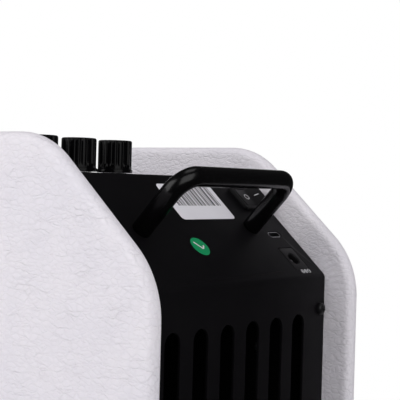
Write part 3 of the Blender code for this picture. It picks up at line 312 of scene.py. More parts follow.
def times(tree, first, second):
    """The product of two sockets or numbers."""
    return math_node(tree, "MULTIPLY", first, second)


def vector_math(tree, operation, first, second=(0.0, 0.0, 0.0), output="Vector"):
    """A Vector Math node on sockets or plain vectors."""
    return add_node(tree, "VectorMath", {0: first, 1: second}, operation=operation).outputs[output]


def ramp(tree, source, low, high, start=0.0, end=1.0):
    """Map a value from one range to another, held at both ends."""
    values = {"Value": source, "From Min": low, "From Max": high, "To Min": start, "To Max": end}
    return add_node(tree, "MapRange", values).outputs["Result"]


def blend_colour(tree, share, first, second):
    """Mix two colours, given as sockets or as RGB values, by a share."""
    values = {0: share}
    for socket, colour in ((6, first), (7, second)):
        values[socket] = colour if isinstance(colour, bpy.types.NodeSocket) else (*colour, 1.0)
    return add_node(tree, "Mix", values, data_type="RGBA", blend_type="MIX").outputs[2]


def fractal(tree, place, scale, detail=2.0, roughness=0.5, distortion=0.0, output="Fac"):
    """A noise texture at a place."""
    values = {"Vector": place, "Scale": scale, "Detail": detail, "Roughness": roughness,
              "Distortion": distortion}
    return add_node(tree, "TexNoise", values).outputs[output]


def stretched(tree, place, scale):
    """A place scaled along each axis."""
    return add_node(tree, "Mapping", {"Vector": place, "Scale": scale}).outputs["Vector"]


def bumped(tree, height, strength, distance, invert=False):
    """A normal bent by a height."""
    values = {"Height": height, "Strength": strength, "Distance": distance}
    return add_node(tree, "Bump", values, invert=invert).outputs["Normal"]


def ray_kinds(tree):
    """Whether a ray comes from the camera, and whether it is mirrored or passed on by a surface."""
    path = add_node(tree, "LightPath").outputs
    mirrored = math_node(tree, "MAXIMUM", path["Is Glossy Ray"], path["Is Transmission Ray"])
    return path["Is Camera Ray"], mirrored


def new_group(name, inputs, outputs):
    """An empty node group with named numbers; returns its tree, input node and output node."""
    tree = bpy.data.node_groups.new(name, "ShaderNodeTree")
    for way, sockets in (("INPUT", inputs), ("OUTPUT", outputs)):
        for socket in sockets:
            tree.interface.new_socket(socket, in_out=way, socket_type="NodeSocketFloat")
    return tree, tree.nodes.new("NodeGroupInput"), tree.nodes.new("NodeGroupOutput")


def make_fine_texture():
    """Sprayed or moulded surface: a fine bumpy skin and a slow change of tone."""
    tree, entry, leave = new_group("fine_texture", ["Grain Scale"], ["Height", "Tone"])
    place = object_place(tree)
    tone = fractal(tree, place, scale=40.0, detail=4.0, roughness=0.6)
    skin = fractal(tree, place, scale=entry.outputs["Grain Scale"], detail=3.0, roughness=0.55)
    feed(tree, leave.inputs["Height"], skin)
    feed(tree, leave.inputs["Tone"], ramp(tree, tone, 0.3, 0.7))
    return tree


def make_handling():
    """Where hands and cloths have been: soft smudges and a few fine wiping lines."""
    tree, entry, leave = new_group("handling", ["Base", "Spread"], ["Roughness"])
    place = object_place(tree)
    smudge = fractal(tree, place, scale=60.0, detail=5.0, roughness=0.62, distortion=0.4)
    lines = fractal(tree, stretched(tree, place, (1.0, 9.0, 9.0)), scale=260.0)
    both = math_node(tree, "ADD", times(tree, smudge, 0.8), times(tree, lines, 0.2))
    swing = times(tree, math_node(tree, "SUBTRACT", both, 0.5), entry.outputs["Spread"])
    feed(tree, leave.inputs["Roughness"], math_node(tree, "ADD", swing, entry.outputs["Base"]))
    return tree


FINE_TEXTURE = make_fine_texture()
HANDLING = make_handling()


def new_material(name):
    """A Principled material; returns it with its tree."""
    made = bpy.data.materials.new(name)
    made.use_nodes = True
    return made, made.node_tree


def set_shader(tree, values):
    """Feed the Principled shader's inputs and return the shader."""
    shader = tree.nodes["Principled BSDF"]
    for socket, value in values.items():
        feed(tree, shader.inputs[socket], value)
    return shader


def coated(name, colour, lighter, roughness, spread, grain, bump, specular, metallic=0.0):
    """A painted, moulded or plated finish: fine texture in the skin, a slow tone and handling marks."""
    made, tree = new_material(name)
    skin = add_node(tree, "Group", {"Grain Scale": grain}, node_tree=FINE_TEXTURE).outputs
    marks = add_node(tree, "Group", {"Base": roughness, "Spread": spread}, node_tree=HANDLING).outputs
    set_shader(tree, {
        "Base Color": blend_colour(tree, skin["Tone"], colour, lighter),
        "Roughness": marks["Roughness"],
        "Normal": bumped(tree, skin["Height"], bump, distance=0.0001),
        "Specular IOR Level": specular,
        "Metallic": metallic,
    })
    return made


def leatherette():
    """White embossed leatherette: soft pebbles and longer wrinkles, drawn out along the cheek."""
    made, tree = new_material("white_leatherette")
    place = object_place(tree)
    warp = fractal(tree, place, scale=170.0, detail=3.0, roughness=0.6, output="Color")
    centred = vector_math(tree, "SUBTRACT", warp, (0.5, 0.5, 0.5))
    wander = add_node(tree, "VectorMath", {0: centred, "Scale": 0.0034}, operation="SCALE").outputs["Vector"]
    moved = vector_math(tree, "ADD", place, wander)
    sunk_lines = {}
    for name, scale, drawn, width in (("pebble", 450.0, 0.60, 0.26), ("crease", 270.0, 0.30, 0.15)):
        values = {"Vector": stretched(tree, moved, (1.0, drawn, 1.0)), "Scale": scale}
        cells = add_node(tree, "TexVoronoi", values, feature="DISTANCE_TO_EDGE")
        edge = ramp(tree, cells.outputs["Distance"], 0.0, width, 1.0, 0.0)
        sunk_lines[name] = times(tree, edge, edge)
    shown = ramp(tree, fractal(tree, place, scale=90.0), 0.36, 0.66, 0.10, 1.0)
    deep = times(tree, sunk_lines["crease"], shown)
    sunk = math_node(tree, "ADD", times(tree, sunk_lines["pebble"], 0.6), deep)
    tone = ramp(tree, fractal(tree, place, scale=34.0, detail=3.0, roughness=0.55), 0.32, 0.68)
    face = blend_colour(tree, tone, (0.800, 0.770, 0.825), (0.840, 0.805, 0.850))
    # The colour darkens along the sunk pebble and crease lines: painted shade in the creases.
    set_shader(tree, {
        "Base Color": blend_colour(tree, times(tree, sunk, 0.15), face, (0.62, 0.590, 0.64)),
        "Roughness": ramp(tree, sunk, 0.0, 1.6, 0.52, 0.68),
        "Normal": bumped(tree, sunk, strength=0.70, distance=0.0003, invert=True),
        "Specular IOR Level": 0.35,
    })
    return made


def fibreboard():
    """Brown pressed board, with fibres and a few darker flecks."""
    made, tree = new_material("pressed_board")
    place = object_place(tree)
    fibres = fractal(tree, place, scale=900.0, detail=6.0, roughness=0.7)
    flecks = add_node(tree, "TexVoronoi", {"Vector": place, "Scale": 700.0}).outputs["Distance"]
    wood = blend_colour(tree, fibres, (0.30, 0.19, 0.10), (0.52, 0.37, 0.22))
    dark = ramp(tree, flecks, 0.05, 0.25, 0.5, 0.0)
    set_shader(tree, {
        "Base Color": blend_colour(tree, dark, wood, (0.16, 0.10, 0.06)),
        "Roughness": 0.82,
        "Normal": bumped(tree, fibres, strength=0.25, distance=0.0002),
    })
    return made


def solder_mask():
    """Green circuit board: tracks show through the mask as slightly paler lines."""
    made, tree = new_material("solder_mask")
    black = (0.0, 0.0, 0.0, 1.0)
    bricks = {"Vector": stretched(tree, object_place(tree), (160.0, 160.0, 160.0)), "Scale": 1.0,
              "Mortar Size": 0.09, "Mortar Smooth": 0.2, "Color1": black, "Color2": black,
              "Mortar": (*WHITE, 1.0)}
    tracks = add_node(tree, "TexBrick", bricks).outputs["Color"]
    set_shader(tree, {
        "Base Color": blend_colour(tree, tracks, (0.006, 0.085, 0.035), (0.018, 0.16, 0.07)),
        "Roughness": 0.32,
        "Normal": bumped(tree, tracks, strength=0.3, distance=0.00005),
    })
    return made


def cone_paper():
    """Black pressed paper, with long fibres and a dull nap."""
    made, tree = new_material("cone_paper")
    fibres = fractal(tree, object_place(tree), scale=1300.0, detail=5.0, distortion=1.4)
    set_shader(tree, {
        "Base Color": blend_colour(tree, fibres, (0.010, 0.010, 0.011), (0.050, 0.048, 0.046)),
        "Roughness": 0.9,
        "Normal": bumped(tree, fibres, strength=0.5, distance=0.0001),
    })
    return made


# Each coated finish: name, darker and lighter colour, roughness, its spread, grain scale, bump, specular
# level and, for metals, how metallic it is.
COATS = {
    "powder_coat": ("powder_coat", (0.0036, 0.0031, 0.0042), (0.0050, 0.0045, 0.0056),
                    0.52, 0.12, 2600, 0.30, 0.11),
    "black_paint": ("black_paint", (0.0060, 0.0058, 0.0062), (0.0085, 0.0082, 0.0088),
                    0.62, 0.10, 1500, 0.30, 0.15),
    "handle_paint": ("handle_paint", (0.0010, 0.0009, 0.0012), (0.0016, 0.0014, 0.0018),
                     0.22, 0.08, 1800, 0.05, 0.40),
    "knob_gloss": ("knob_gloss", (0.0012, 0.0011, 0.0015), (0.0018, 0.0016, 0.0022),
                   0.18, 0.06, 1500, 0.02, 0.15),
    "moulded": ("moulded_plastic", (0.0042, 0.0039, 0.0046), (0.0060, 0.0056, 0.0065),
                0.44, 0.10, 2200, 0.18, 0.18),
    "rubber": ("foot_rubber", (0.012, 0.012, 0.012), (0.018, 0.018, 0.018), 0.80, 0.10, 1600, 0.30, 0.2),
    "steel": ("plated_steel", (0.56, 0.56, 0.58), (0.66, 0.66, 0.68), 0.28, 0.14, 1400, 0.05, 0.5, 1.0),
    # Blackened steel for the rear screws; on the charging socket's shell the same dark finish is painted
    # shade in its cavity.
    "black_steel": ("blackened_steel_and_painted_shade", (0.008, 0.008, 0.009), (0.014, 0.014, 0.015),
                    0.34, 0.12, 1900, 0.10, 0.4, 0.3),
    "ferrite": ("magnet_ferrite", (0.045, 0.046, 0.050), (0.075, 0.076, 0.080), 0.72, 0.10, 900, 0.5, 0.4),
    "copper": ("coil_copper", (0.66, 0.30, 0.14), (0.78, 0.42, 0.22), 0.34, 0.10, 2600, 0.2, 0.5, 1.0),
    "gold": ("contact_gold", (0.72, 0.50, 0.18), (0.82, 0.60, 0.26), 0.25, 0.10, 2600, 0.05, 0.5, 1.0),
    "print": ("white_print", (0.66, 0.65, 0.68), (0.72, 0.71, 0.74), 0.55, 0.10, 2000, 0.05, 0.3),
    "label_film": ("label_film", (0.80, 0.78, 0.83), (0.86, 0.84, 0.89), 0.42, 0.12, 900, 0.04, 0.3),
    "label_ink": ("label_ink", (0.030, 0.028, 0.034), (0.055, 0.052, 0.060), 0.50, 0.10, 2000, 0.05, 0.3),
    "green_film": ("green_film", (0.0040, 0.270, 0.095), (0.0060, 0.320, 0.120), 0.36, 0.12, 1100, 0.05, 0.3),
}
FINISH = {key: coated(*row) for key, row in COATS.items()}
FINISH["leatherette"] = leatherette()
FINISH["board"] = fibreboard()
FINISH["paper"] = cone_paper()
FINISH["circuit_board"] = solder_mask()

# The slot that a finish belongs to, and the finish that dresses a slot of the solids.
OWN_SLOTS = ("leatherette", "board", "powder_coat", "rubber", "steel", "black_steel", "ferrite", "paper",
             "copper", "circuit_board")
SLOT_OF = {name: name for name in OWN_SLOTS}
SLOT_OF.update({"handle_paint": "black_plastic", "moulded": "black_plastic", "knob_gloss": "gloss_plastic",
                "gold": "copper"})
CAD_FINISH = {name: name for name in OWN_SLOTS}
CAD_FINISH.update({"black_plastic": "moulded", "gloss_plastic": "knob_gloss"})


def dress_solids():
    """Give every carried-over solid the full finish of its slot."""
    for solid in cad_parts.values():
        for place in solid.material_slots:
            base = place.material.name.split(".")[0]
            place.material = FINISH[CAD_FINISH[base]]
    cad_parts["front_baffle"].material_slots[0].material = FINISH["black_paint"]


# Modelling helpers.


def as_object(name, data):
    """A new object in the scene."""
    made = bpy.data.objects.new(name, data)
    bpy.context.scene.collection.objects.link(made)
    return made


def as_mesh(name, bm):
    """Turn a working mesh into mesh data; it is used up."""
    made = bpy.data.meshes.new(name)
    bm.to_mesh(made)
    bm.free()
    return made


def final_shape(thing):
    """A working mesh of an object's final shape."""
    graph = bpy.context.evaluated_depsgraph_get()
    made = bpy.data.meshes.new_from_object(thing.evaluated_get(graph))
    bm = bmesh.new()
    bm.from_mesh(made)
    bpy.data.meshes.remove(made)
    return bm


def new_piece(name, bm, finish, place=None, body=CHASSIS, stands_for=(), sharp=38):
    """Set a mesh in its place as one piece that rides on a body and stands for some solids."""
    if place is not None:
        set_place(bm, place)
    mesh = as_mesh(name, bm)
    mesh.shade_smooth()
    mesh.set_sharp_from_angle(angle=math.radians(sharp))
    mesh.materials.append(FINISH[finish])
    piece = as_object(name, mesh)
    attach(piece, body)
    if stands_for:
        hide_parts(*stands_for)
    return piece


def thicken(piece, name, thickness, even=True):
    """Give a sheet its thickness, behind the side that is drawn."""
    wall = piece.modifiers.new(name, "SOLIDIFY")
    wall.thickness = thickness
    wall.offset = -1.0
    wall.use_even_offset = even


def set_place(bm, matrix):
    """Move a whole mesh into its place on the object."""
    bmesh.ops.transform(bm, matrix=matrix, verts=bm.verts)


def add_mesh(bm, other, place=None):
    """Add another mesh to this one, in its place; the other is used up."""
    if place is not None:
        set_place(other, place)
    held = as_mesh("held", other)
    bm.from_mesh(held)
    bpy.data.meshes.remove(held)


def at(x, y, z=0.0):
    """A shift in a panel's own frame."""
    return Matrix.Translation((x, y, z))


def about_z(angle):
    """A turn about the Z axis."""
    return Matrix.Rotation(angle, 4, "Z")


def whole(bm):
    """Everything in a mesh."""
    return bm.verts[:] + bm.edges[:] + bm.faces[:]


def only(kind, geometry):
    """The points or the edges among some geometry."""
    return [item for item in geometry if isinstance(item, kind)]


def open_edges(bm):
    """The edges that bound a hole."""
    return [edge for edge in bm.edges if edge.is_boundary]


def weld(bm, distance=TOUCH):
    """Merge points that lie together."""
    bmesh.ops.remove_doubles(bm, verts=bm.verts, dist=distance)


def face_outwards(bm):
    """Turn every face outwards."""
    bmesh.ops.recalc_face_normals(bm, faces=bm.faces)


def face_upwards(bm, face):
    """Turn an open sheet over if a face of it looks down."""
    if face.normal.z < 0:
        bmesh.ops.reverse_faces(bm, faces=bm.faces)


def round_edges(bm, edges, offset, segments):
    """Bevel edges with a round profile."""
    bmesh.ops.bevel(
        bm, geom=edges, offset=offset, offset_type="OFFSET", segments=segments, profile=0.5, affect="EDGES",
        material=-1, clamp_overlap=True, loop_slide=True)


def soften(bm, offset, segments, angle):
    """Round every edge whose faces meet at more than an angle."""
    limit = math.radians(angle)
    sharp = [edge for edge in bm.edges if edge.is_manifold and edge.calc_face_angle() > limit]
    round_edges(bm, sharp, offset, segments)


def turned(profile, sides, ring=False):
    """Spin a profile of (radius, height) points about Z; a ring's profile closes on itself."""
    bm = bmesh.new()
    points = [bm.verts.new((radius, 0.0, height)) for radius, height in profile]
    edges = [bm.edges.new(pair) for pair in zip(points, points[1:])]
    if ring:
        edges.append(bm.edges.new((points[-1], points[0])))
    bmesh.ops.spin(
        bm, geom=points + edges, cent=(0, 0, 0), axis=(0, 0, 1), dvec=(0, 0, 0), angle=2 * math.pi,
        steps=sides, use_merge=True)
    weld(bm)
    face_outwards(bm)
    return bm


def rounded_plate(width, length, low, high, corner, edge=0.0, steps=6):
    """A plate with rounded corners and a softened upper edge."""
    bm = bmesh.new()
    middle = at(0, 0, (low + high) / 2)
    bmesh.ops.create_cube(bm, size=1, matrix=middle @ Matrix.Diagonal((width, length, high - low, 1)))
    upright = [item for item in bm.edges if abs(item.verts[0].co.z - item.verts[1].co.z) > (high - low) / 2]
    round_edges(bm, upright, corner, steps)
    if edge:
        crown = [item for item in bm.edges if min(vert.co.z for vert in item.verts) > high - TOUCH]
        round_edges(bm, crown, edge, 3)
    return bm


def face_at(bm, height, up=True):
    """The largest flat face at a height that looks up or down."""
    way = 1 if up else -1
    found = [item for item in bm.faces
             if abs(item.calc_center_median().z - height) < NEAR and way * item.normal.z > 0.9]
    return max(found, key=lambda item: item.calc_area())


def inset(bm, face, distance):
    """Draw a face in by a distance and keep a rim round it."""
    bmesh.ops.inset_region(
        bm, faces=[face], thickness=distance, depth=0, use_boundary=True, use_even_offset=True)


def push(bm, face, height):
    """Extrude one face along Z; returns the moved face."""
    grown = bmesh.ops.extrude_discrete_faces(bm, faces=[face])["faces"][0]
    bmesh.ops.translate(bm, verts=grown.verts, vec=(0, 0, height))
    return grown


def extrude_wire(bm, move):
    """Fill a closed wire and extrude it along a vector."""
    face = bmesh.ops.edgeloop_fill(bm, edges=bm.edges[:])["faces"]
    grown = bmesh.ops.extrude_face_region(bm, geom=face)["geom"]
    bmesh.ops.translate(bm, verts=only(BMVert, grown), vec=move)


def repeat(bm, geometry, x, y):
    """Copy some geometry to a place beside it."""
    copy = bmesh.ops.duplicate(bm, geom=geometry)["geom"]
    bmesh.ops.translate(bm, verts=only(BMVert, copy), vec=(x, y, 0))


def add_ring(bm, sides, radius, place):
    """A bare ring of edges."""
    bmesh.ops.create_circle(bm, cap_ends=False, segments=sides, radius=radius, matrix=place)


def draw_ring(bm, edges, move):
    """Extrude an open ring of edges along a vector; returns the moved ring."""
    grown = bmesh.ops.extrude_edge_only(bm, edges=edges)["geom"]
    moved = only(BMVert, grown)
    bmesh.ops.translate(bm, verts=moved, vec=move)
    reached = set(moved)
    return [item for item in only(BMEdge, grown) if set(item.verts) <= reached]


def swing_ring(bm, edges, centre, axis, angle, steps):
    """Sweep an open ring of edges round an axis; returns the last ring."""
    verts = list({vert for edge in edges for vert in edge.verts})
    swept = bmesh.ops.spin(
        bm, geom=verts + edges, cent=centre, axis=axis, dvec=(0, 0, 0), angle=angle, steps=steps,
        use_merge=False)
    return only(BMEdge, swept["geom_last"])


def cut_out(bm, tool):
    """Cut a tool out of a mesh; both are used up and the cut mesh is returned."""
    held = [as_object(name, as_mesh(name, source)) for name, source in (("cut_body", bm), ("cut_tool", tool))]
    modifier = held[0].modifiers.new("recess", "BOOLEAN")
    modifier.operation = "DIFFERENCE"
    modifier.solver = "EXACT"
    modifier.object = held[1]
    result = final_shape(held[0])
    for item in held:
        mesh = item.data
        bpy.data.objects.remove(item, do_unlink=True)
        bpy.data.meshes.remove(mesh)
    return result


# Cheeks.


def cheek_bends():
    """Each corner's arc on the cheek outline: its centre, first point, turn and radius, in metres."""
    bends = []
    corners = [Vector(corner) * MM for corner in CHEEK_CORNERS]
    for index, here in enumerate(corners):
        back = (corners[index - 1] - here).normalized()
        ahead = (corners[(index + 1) % len(corners)] - here).normalized()
        radius = CHEEK_RADII[index] * MM
        half = back.angle(ahead) / 2
        centre = here + (back + ahead).normalized() * (radius / math.sin(half))
        first = here + back * (radius / math.tan(half))
        bends.append((centre, first, math.pi - 2 * half, radius))
    return bends


def cheek_wire(bm, x):
    """A closed wire round the cheek: one point swept round each bend and along each straight run."""
    bends = cheek_bends()
    point = bm.verts.new((x, *bends[0][1]))
    for index, (centre, _, turn, radius) in enumerate(bends):
        ahead = bends[(index + 1) % len(bends)][1]
        steps = round(radius * turn / BEND_SPACING)
        swept = bmesh.ops.spin(bm, geom=[point], cent=(x, *centre), axis=(1, 0, 0), angle=turn, steps=steps)
        point = swept["geom_last"][0]
        run = Vector((x, *ahead)) - point.co
        steps = round(run.length / RUN_SPACING)
        swept = bmesh.ops.spin(bm, geom=[point], axis=(1, 0, 0), dvec=run / steps, steps=steps)
        point = swept["geom_last"][0]
    weld(bm, WIRE_WELD)


def pucker_depth(y, z):
    """How far gathered leatherette sinks on the inner face, round the cheek's bends."""
    sink = 0.0
    for index, (centre, first, turn, radius) in enumerate(cheek_bends()):
        spoke = Vector((y, z)) - centre
        reach = spoke.length
        inwards = radius - reach
        if reach < PUCKER_FROM or not PUCKER_FROM < inwards < PUCKER_TO:
            continue
        share = -(first - centre).angle_signed(spoke) / turn
        if not -0.1 < share < 1.1:
            continue
        wander = noise.noise(Vector((inwards * 160, index * 7.3, share * 3.0)))
        phase = share * turn * (radius - PITCH_LINE) / PUCKER_PITCH + WANDER * wander
        fold = math.floor(phase)
        luck = 0.5 + 0.5 * noise.noise(Vector((fold * 3.7, index * 5.1, 0.4)))
        strength = PUCKER_LEAST + (1 - PUCKER_LEAST) * luck
        ridge = abs(phase - fold - 0.5) * 2
        along = smooth_step(-0.08, 0.22, share) * (1 - smooth_step(0.78, 1.08, share))
        across = smooth_step(*PUCKER_RISE, inwards)
        sink += strength * ridge ** PUCKER_POWER * along * across
    return sink


def make_cheek(side_name, side):
    """One cheek's leatherette, wrapped round the board's edge and turned in, gathered at the bends."""
    inner = side * CHEEK_INNER
    bm = bmesh.new()
    cheek_wire(bm, inner)
    extrude_wire(bm, (side * CHEEK_THICKNESS, 0, 0))
    rim = [edge for edge in bm.edges if abs(edge.verts[0].co.x - edge.verts[1].co.x) < TOUCH]
    round_edges(bm, rim, CHEEK_EDGE, CHEEK_EDGE_STEPS)
    face_outwards(bm)
    caps = [item for item in bm.faces if len(item.verts) > CAP_SIDES]
    inside, outside = sorted(caps, key=lambda item: abs(item.calc_center_median().x))
    for _ in range(round((TURN_IN - CHEEK_EDGE) / TURN_IN_STEP)):
        inset(bm, inside, TURN_IN_STEP)
    for distance in OUTER_INSETS:
        inset(bm, outside, distance)
    for vert in bm.verts:
        if abs(vert.co.x - inner) < NEAR:
            vert.co.x += side * PUCKER * pucker_depth(vert.co.y, vert.co.z)
    bmesh.ops.delete(bm, geom=[inside], context="FACES")
    piece = new_piece(side_name + "_wrap", bm, "leatherette", stands_for=[side_name + "_cheek_leather"],
                      sharp=80)
    thicken(piece, "leatherette_thickness", WRAP)


# Chassis.


def add_round_hole(bm, x, y, radius, sides=40):
    """A round opening's edge loop."""
    add_ring(bm, sides, radius, at(x, y))


def add_slot(bm, x, top, width, length):
    """A straight slot with round ends: a circle whose lower half is drawn down."""
    before = set(bm.verts)
    add_round_hole(bm, x, top + width / 2, width / 2)
    lower = [vert for vert in bm.verts if vert not in before and vert.co.y > top + width / 2 + 1e-9]
    bmesh.ops.translate(bm, verts=lower, vec=(0, length - width, 0))


def add_window(bm, x, y, width, length, corner, sides=32):
    """A rectangular opening with rounded corners: a small circle whose quarters are drawn apart."""
    before = set(bm.verts)
    add_ring(bm, sides, corner, at(x, y) @ about_z(math.pi / sides))
    for vert in bm.verts:
        if vert not in before:
            vert.co.x += math.copysign(width / 2 - corner, vert.co.x - x)
            vert.co.y += math.copysign(length / 2 - corner, vert.co.y - y)


def panel(start, end, add_openings, place):
    """A flat panel between two distances down its face, with its openings left out, set in its place."""
    bm = bmesh.new()
    add_ring(bm, 4, 1.0, about_z(math.pi / 4))
    for vert in bm.verts:
        vert.co.x = math.copysign(SHELL_HALF, vert.co.x)
        vert.co.y = end if vert.co.y > 0 else start
    add_openings(bm)
    bmesh.ops.triangle_fill(bm, use_beauty=True, use_dissolve=False, edges=bm.edges[:], normal=(0, 0, 1))
    set_place(bm, place)
    return bm


def top_openings(bm):
    """Holes for the knobs' shafts, the jacks and the push button."""
    for x in KNOB_PLACES.values():
        add_round_hole(bm, x, KNOB_ROW_Y, KNOB_HOLE)
    for x, radius in ((INPUT_X, INPUT_HOLE), (PHONES_X, PHONES_HOLE), (BUTTON_X, BUTTON_HOLE)):
        add_round_hole(bm, x, JACK_ROW_Y, radius)


def slant_openings(bm):
    """Holes for the handle's screws, and windows for the switch and the two sockets."""
    gap = 2 * SEAT
    for side in (-1, 1):
        add_round_hole(bm, side * HANDLE_HALF, HANDLE_DOWN, HANDLE_HOLE, sides=24)
    for place, (width, length), corner in (
            (SWITCH_AT, SWITCH_BODY, 0.8 * MM),
            (USB_AT, USB_SIZE, (USB_SIZE[1] + gap) / 2 - HAIR),
            (DC_AT, DC_SIZE, 1.0 * MM)):
        add_window(bm, *place, width + gap, length + gap, corner)


def rear_openings(bm):
    """The vent slots and the screws' holes."""
    for index in range(SLOT_COUNT):
        add_slot(bm, (index - (SLOT_COUNT - 1) / 2) * SLOT_PITCH, SLOT_TOP, SLOT_WIDTH, SLOT_LENGTH)
    for number in NUMBERS:
        middle = REAR_PLACE.inverted() @ (sum(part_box(f"shell_screw_{number}"), Vector()) / 2)
        add_round_hole(bm, middle.x, middle.y, SCREW_HOLE, sides=20)


def make_shell():
    """The sheet folded over the top, the slanted panel and the rear wall."""
    first = FOLD_RADIUS * math.tan(SLANT / 2)
    second_turn = math.pi / 2 - SLANT
    second = FOLD_RADIUS * math.tan(second_turn / 2)
    slope = math.hypot(REAR_Y - TOP_FOLD_Y, TOP_Z - REAR_FOLD_Z)
    bm = panel(FRONT_Y, TOP_FOLD_Y - first - FOLD_STRIP, top_openings, TOP_PLACE)
    add_mesh(bm, panel(first + FOLD_STRIP, slope - second - FOLD_STRIP, slant_openings, SLANT_PLACE))
    add_mesh(bm, panel(second + FOLD_STRIP, REAR_FOLD_Z - BASE_Z, rear_openings, REAR_PLACE))
    folds = (
        (Vector((0, TOP_FOLD_Y - first, TOP_Z)), TOP_PLACE, SLANT),
        (SLANT_PLACE @ Vector((0, slope - second, 0)), SLANT_PLACE, second_turn),
    )
    for line, place, turn in folds:
        down = place.to_3x3() @ Vector((0, FOLD_STRIP, 0))
        inwards = place.to_3x3() @ Vector((0, 0, -FOLD_RADIUS))
        edges = [edge for edge in bm.edges
                 if all((vert.co.yz - (line - down).yz).length < NEAR for vert in edge.verts)]
        ring = draw_ring(bm, edges, down)
        ring = swing_ring(bm, ring, line + inwards, (-1, 0, 0), turn, FOLD_STEPS)
        draw_ring(bm, ring, Matrix.Rotation(-turn, 3, "X") @ down)
    weld(bm, 2 * NEAR)
    face_outwards(bm)
    face_upwards(bm, max(bm.faces, key=lambda item: item.calc_center_median().z))
    piece = new_piece("folded_shell", bm, "powder_coat", stands_for=["rear_shell"])
    thicken(piece, "sheet_thickness", SHEET)
    edge = piece.modifiers.new("broken_edges", "BEVEL")
    edge.width = SHEET_EDGE
    edge.segments = 2
    edge.limit_method = "ANGLE"
    edge.angle_limit = math.radians(40)
    edge.harden_normals = True


def make_handle():
    """A round bar bent into a bridge: a ring drawn up one leg, swung, drawn across, swung and drawn down."""
    shoulder = HANDLE_RISE - HANDLE_BEND
    half_run = HANDLE_HALF - HANDLE_BEND
    bm = bmesh.new()
    add_ring(bm, 40, HANDLE_BAR, at(-HANDLE_HALF, HANDLE_DOWN, SEAT))
    ring = draw_ring(bm, bm.edges[:], (0, 0, shoulder - SEAT))
    for side, straight in ((-1, (2 * half_run, 0, 0)), (1, (0, 0, SEAT - shoulder))):
        centre = (side * half_run, HANDLE_DOWN, shoulder)
        ring = swing_ring(bm, ring, centre, (0, 1, 0), math.pi / 2, steps=20)
        ring = draw_ring(bm, ring, straight)
    weld(bm)
    bmesh.ops.holes_fill(bm, edges=open_edges(bm), sides=0)
    face_outwards(bm)
    soften(bm, HANDLE_EDGE, segments=3, angle=60)
    new_piece("handle_bar", bm, "handle_paint", SLANT_PLACE, stands_for=["carry_handle"])


def bar_print(length, width):
    """A short printed bar along X, centred."""
    return rounded_plate(length, width, 0, PRINT, width * 0.3, steps=3)


def ring_print(radius, width):
    """A printed ring, centred."""
    inner = radius - width
    return turned([(inner, 0), (radius, 0), (radius, PRINT), (inner, PRINT)], sides=40, ring=True)


def dot_print(radius):
    """A printed dot, centred."""
    return turned([(0, 0), (radius, 0), (radius, PRINT), (0, PRINT)], sides=32)


def digit_print(text, size):
    """Printed digits, centred on the origin."""
    words = bpy.data.curves.new("digits", "FONT")
    words.body = text
    words.size = size
    words.align_x = "CENTER"
    words.align_y = "CENTER"
    words.extrude = PRINT / 2
    held = as_object("digits", words)
    bm = final_shape(held)
    bpy.data.objects.remove(held, do_unlink=True)
    bpy.data.curves.remove(words)
    weld(bm)
    bmesh.ops.translate(bm, verts=bm.verts, vec=(0, 0, PRINT / 2))
    return bm


def make_switch():
    """The rocker switch: a flanged housing with a well, and a dished rocker with its marks."""
    seat = SLANT_PLACE @ at(*SWITCH_AT)
    top = SEAT + SWITCH_RISE
    bm = rounded_plate(*SWITCH_FLANGE, SEAT, top, corner=1.1 * MM, edge=SWITCH_EDGE)
    well = face_at(bm, top)
    inset(bm, well, SWITCH_RIM - SWITCH_EDGE)
    push(bm, well, -SWITCH_DEPTH)
    new_piece("switch_housing", bm, "moulded", seat, stands_for=["switch_body"])

    lip = math.acos(ROCKER_REACH / ROCKER_SWEEP)
    bm = bmesh.new()
    start = bm.verts.new((ROCKER_SWEEP, 0, 0))
    bmesh.ops.spin(bm, geom=[start], cent=(0, 0, 0), axis=(0, -1, 0), dvec=(0, 0, 0), angle=lip, steps=6)
    last = max(bm.verts, key=lambda vert: vert.co.z)
    rise = last.co.z - ROCKER_VALLEY
    for step in range(1, DISH_STEPS + 1):
        share = 1 - step / DISH_STEPS
        here = bm.verts.new((ROCKER_REACH * share, 0, ROCKER_VALLEY + rise * share ** DISH_POWER))
        bm.edges.new((last, here))
        last = here
    keel_x, keel_z = ROCKER_KEEL
    bm.edges.new((start, bm.verts.new((keel_x, 0, keel_z))))
    bmesh.ops.mirror(bm, geom=bm.verts[:] + bm.edges[:], axis="X", merge_dist=NEAR)
    bmesh.ops.contextual_create(bm, geom=[vert for vert in bm.verts if abs(vert.co.z - keel_z) < TOUCH])
    extrude_wire(bm, (0, ROCKER_LENGTH, 0))
    set_place(bm, at(0, -ROCKER_LENGTH / 2))
    face_outwards(bm)
    soften(bm, ROCKER_EDGE, segments=3, angle=50)
    tilted = seat @ Matrix.Rotation(ROCKER_TILT, 4, "Y")
    new_piece("rocker_cap", bm, "moulded", tilted, "power_rocker", ["switch_rocker"])

    slope = math.atan2(rise, ROCKER_REACH)
    marks = bmesh.new()
    for mark, side, reach in ((bar_print(*ON_BAR), -1, ON_REACH), (ring_print(*OFF_RING), 1, OFF_REACH)):
        face_place = tilted @ at(0, 0, ROCKER_VALLEY + 2 * HAIR) @ Matrix.Rotation(-side * slope, 4, "Y")
        add_mesh(marks, mark, face_place @ at(side * reach, 0))
    new_piece("rocker_marks", marks, "print", body="power_rocker")


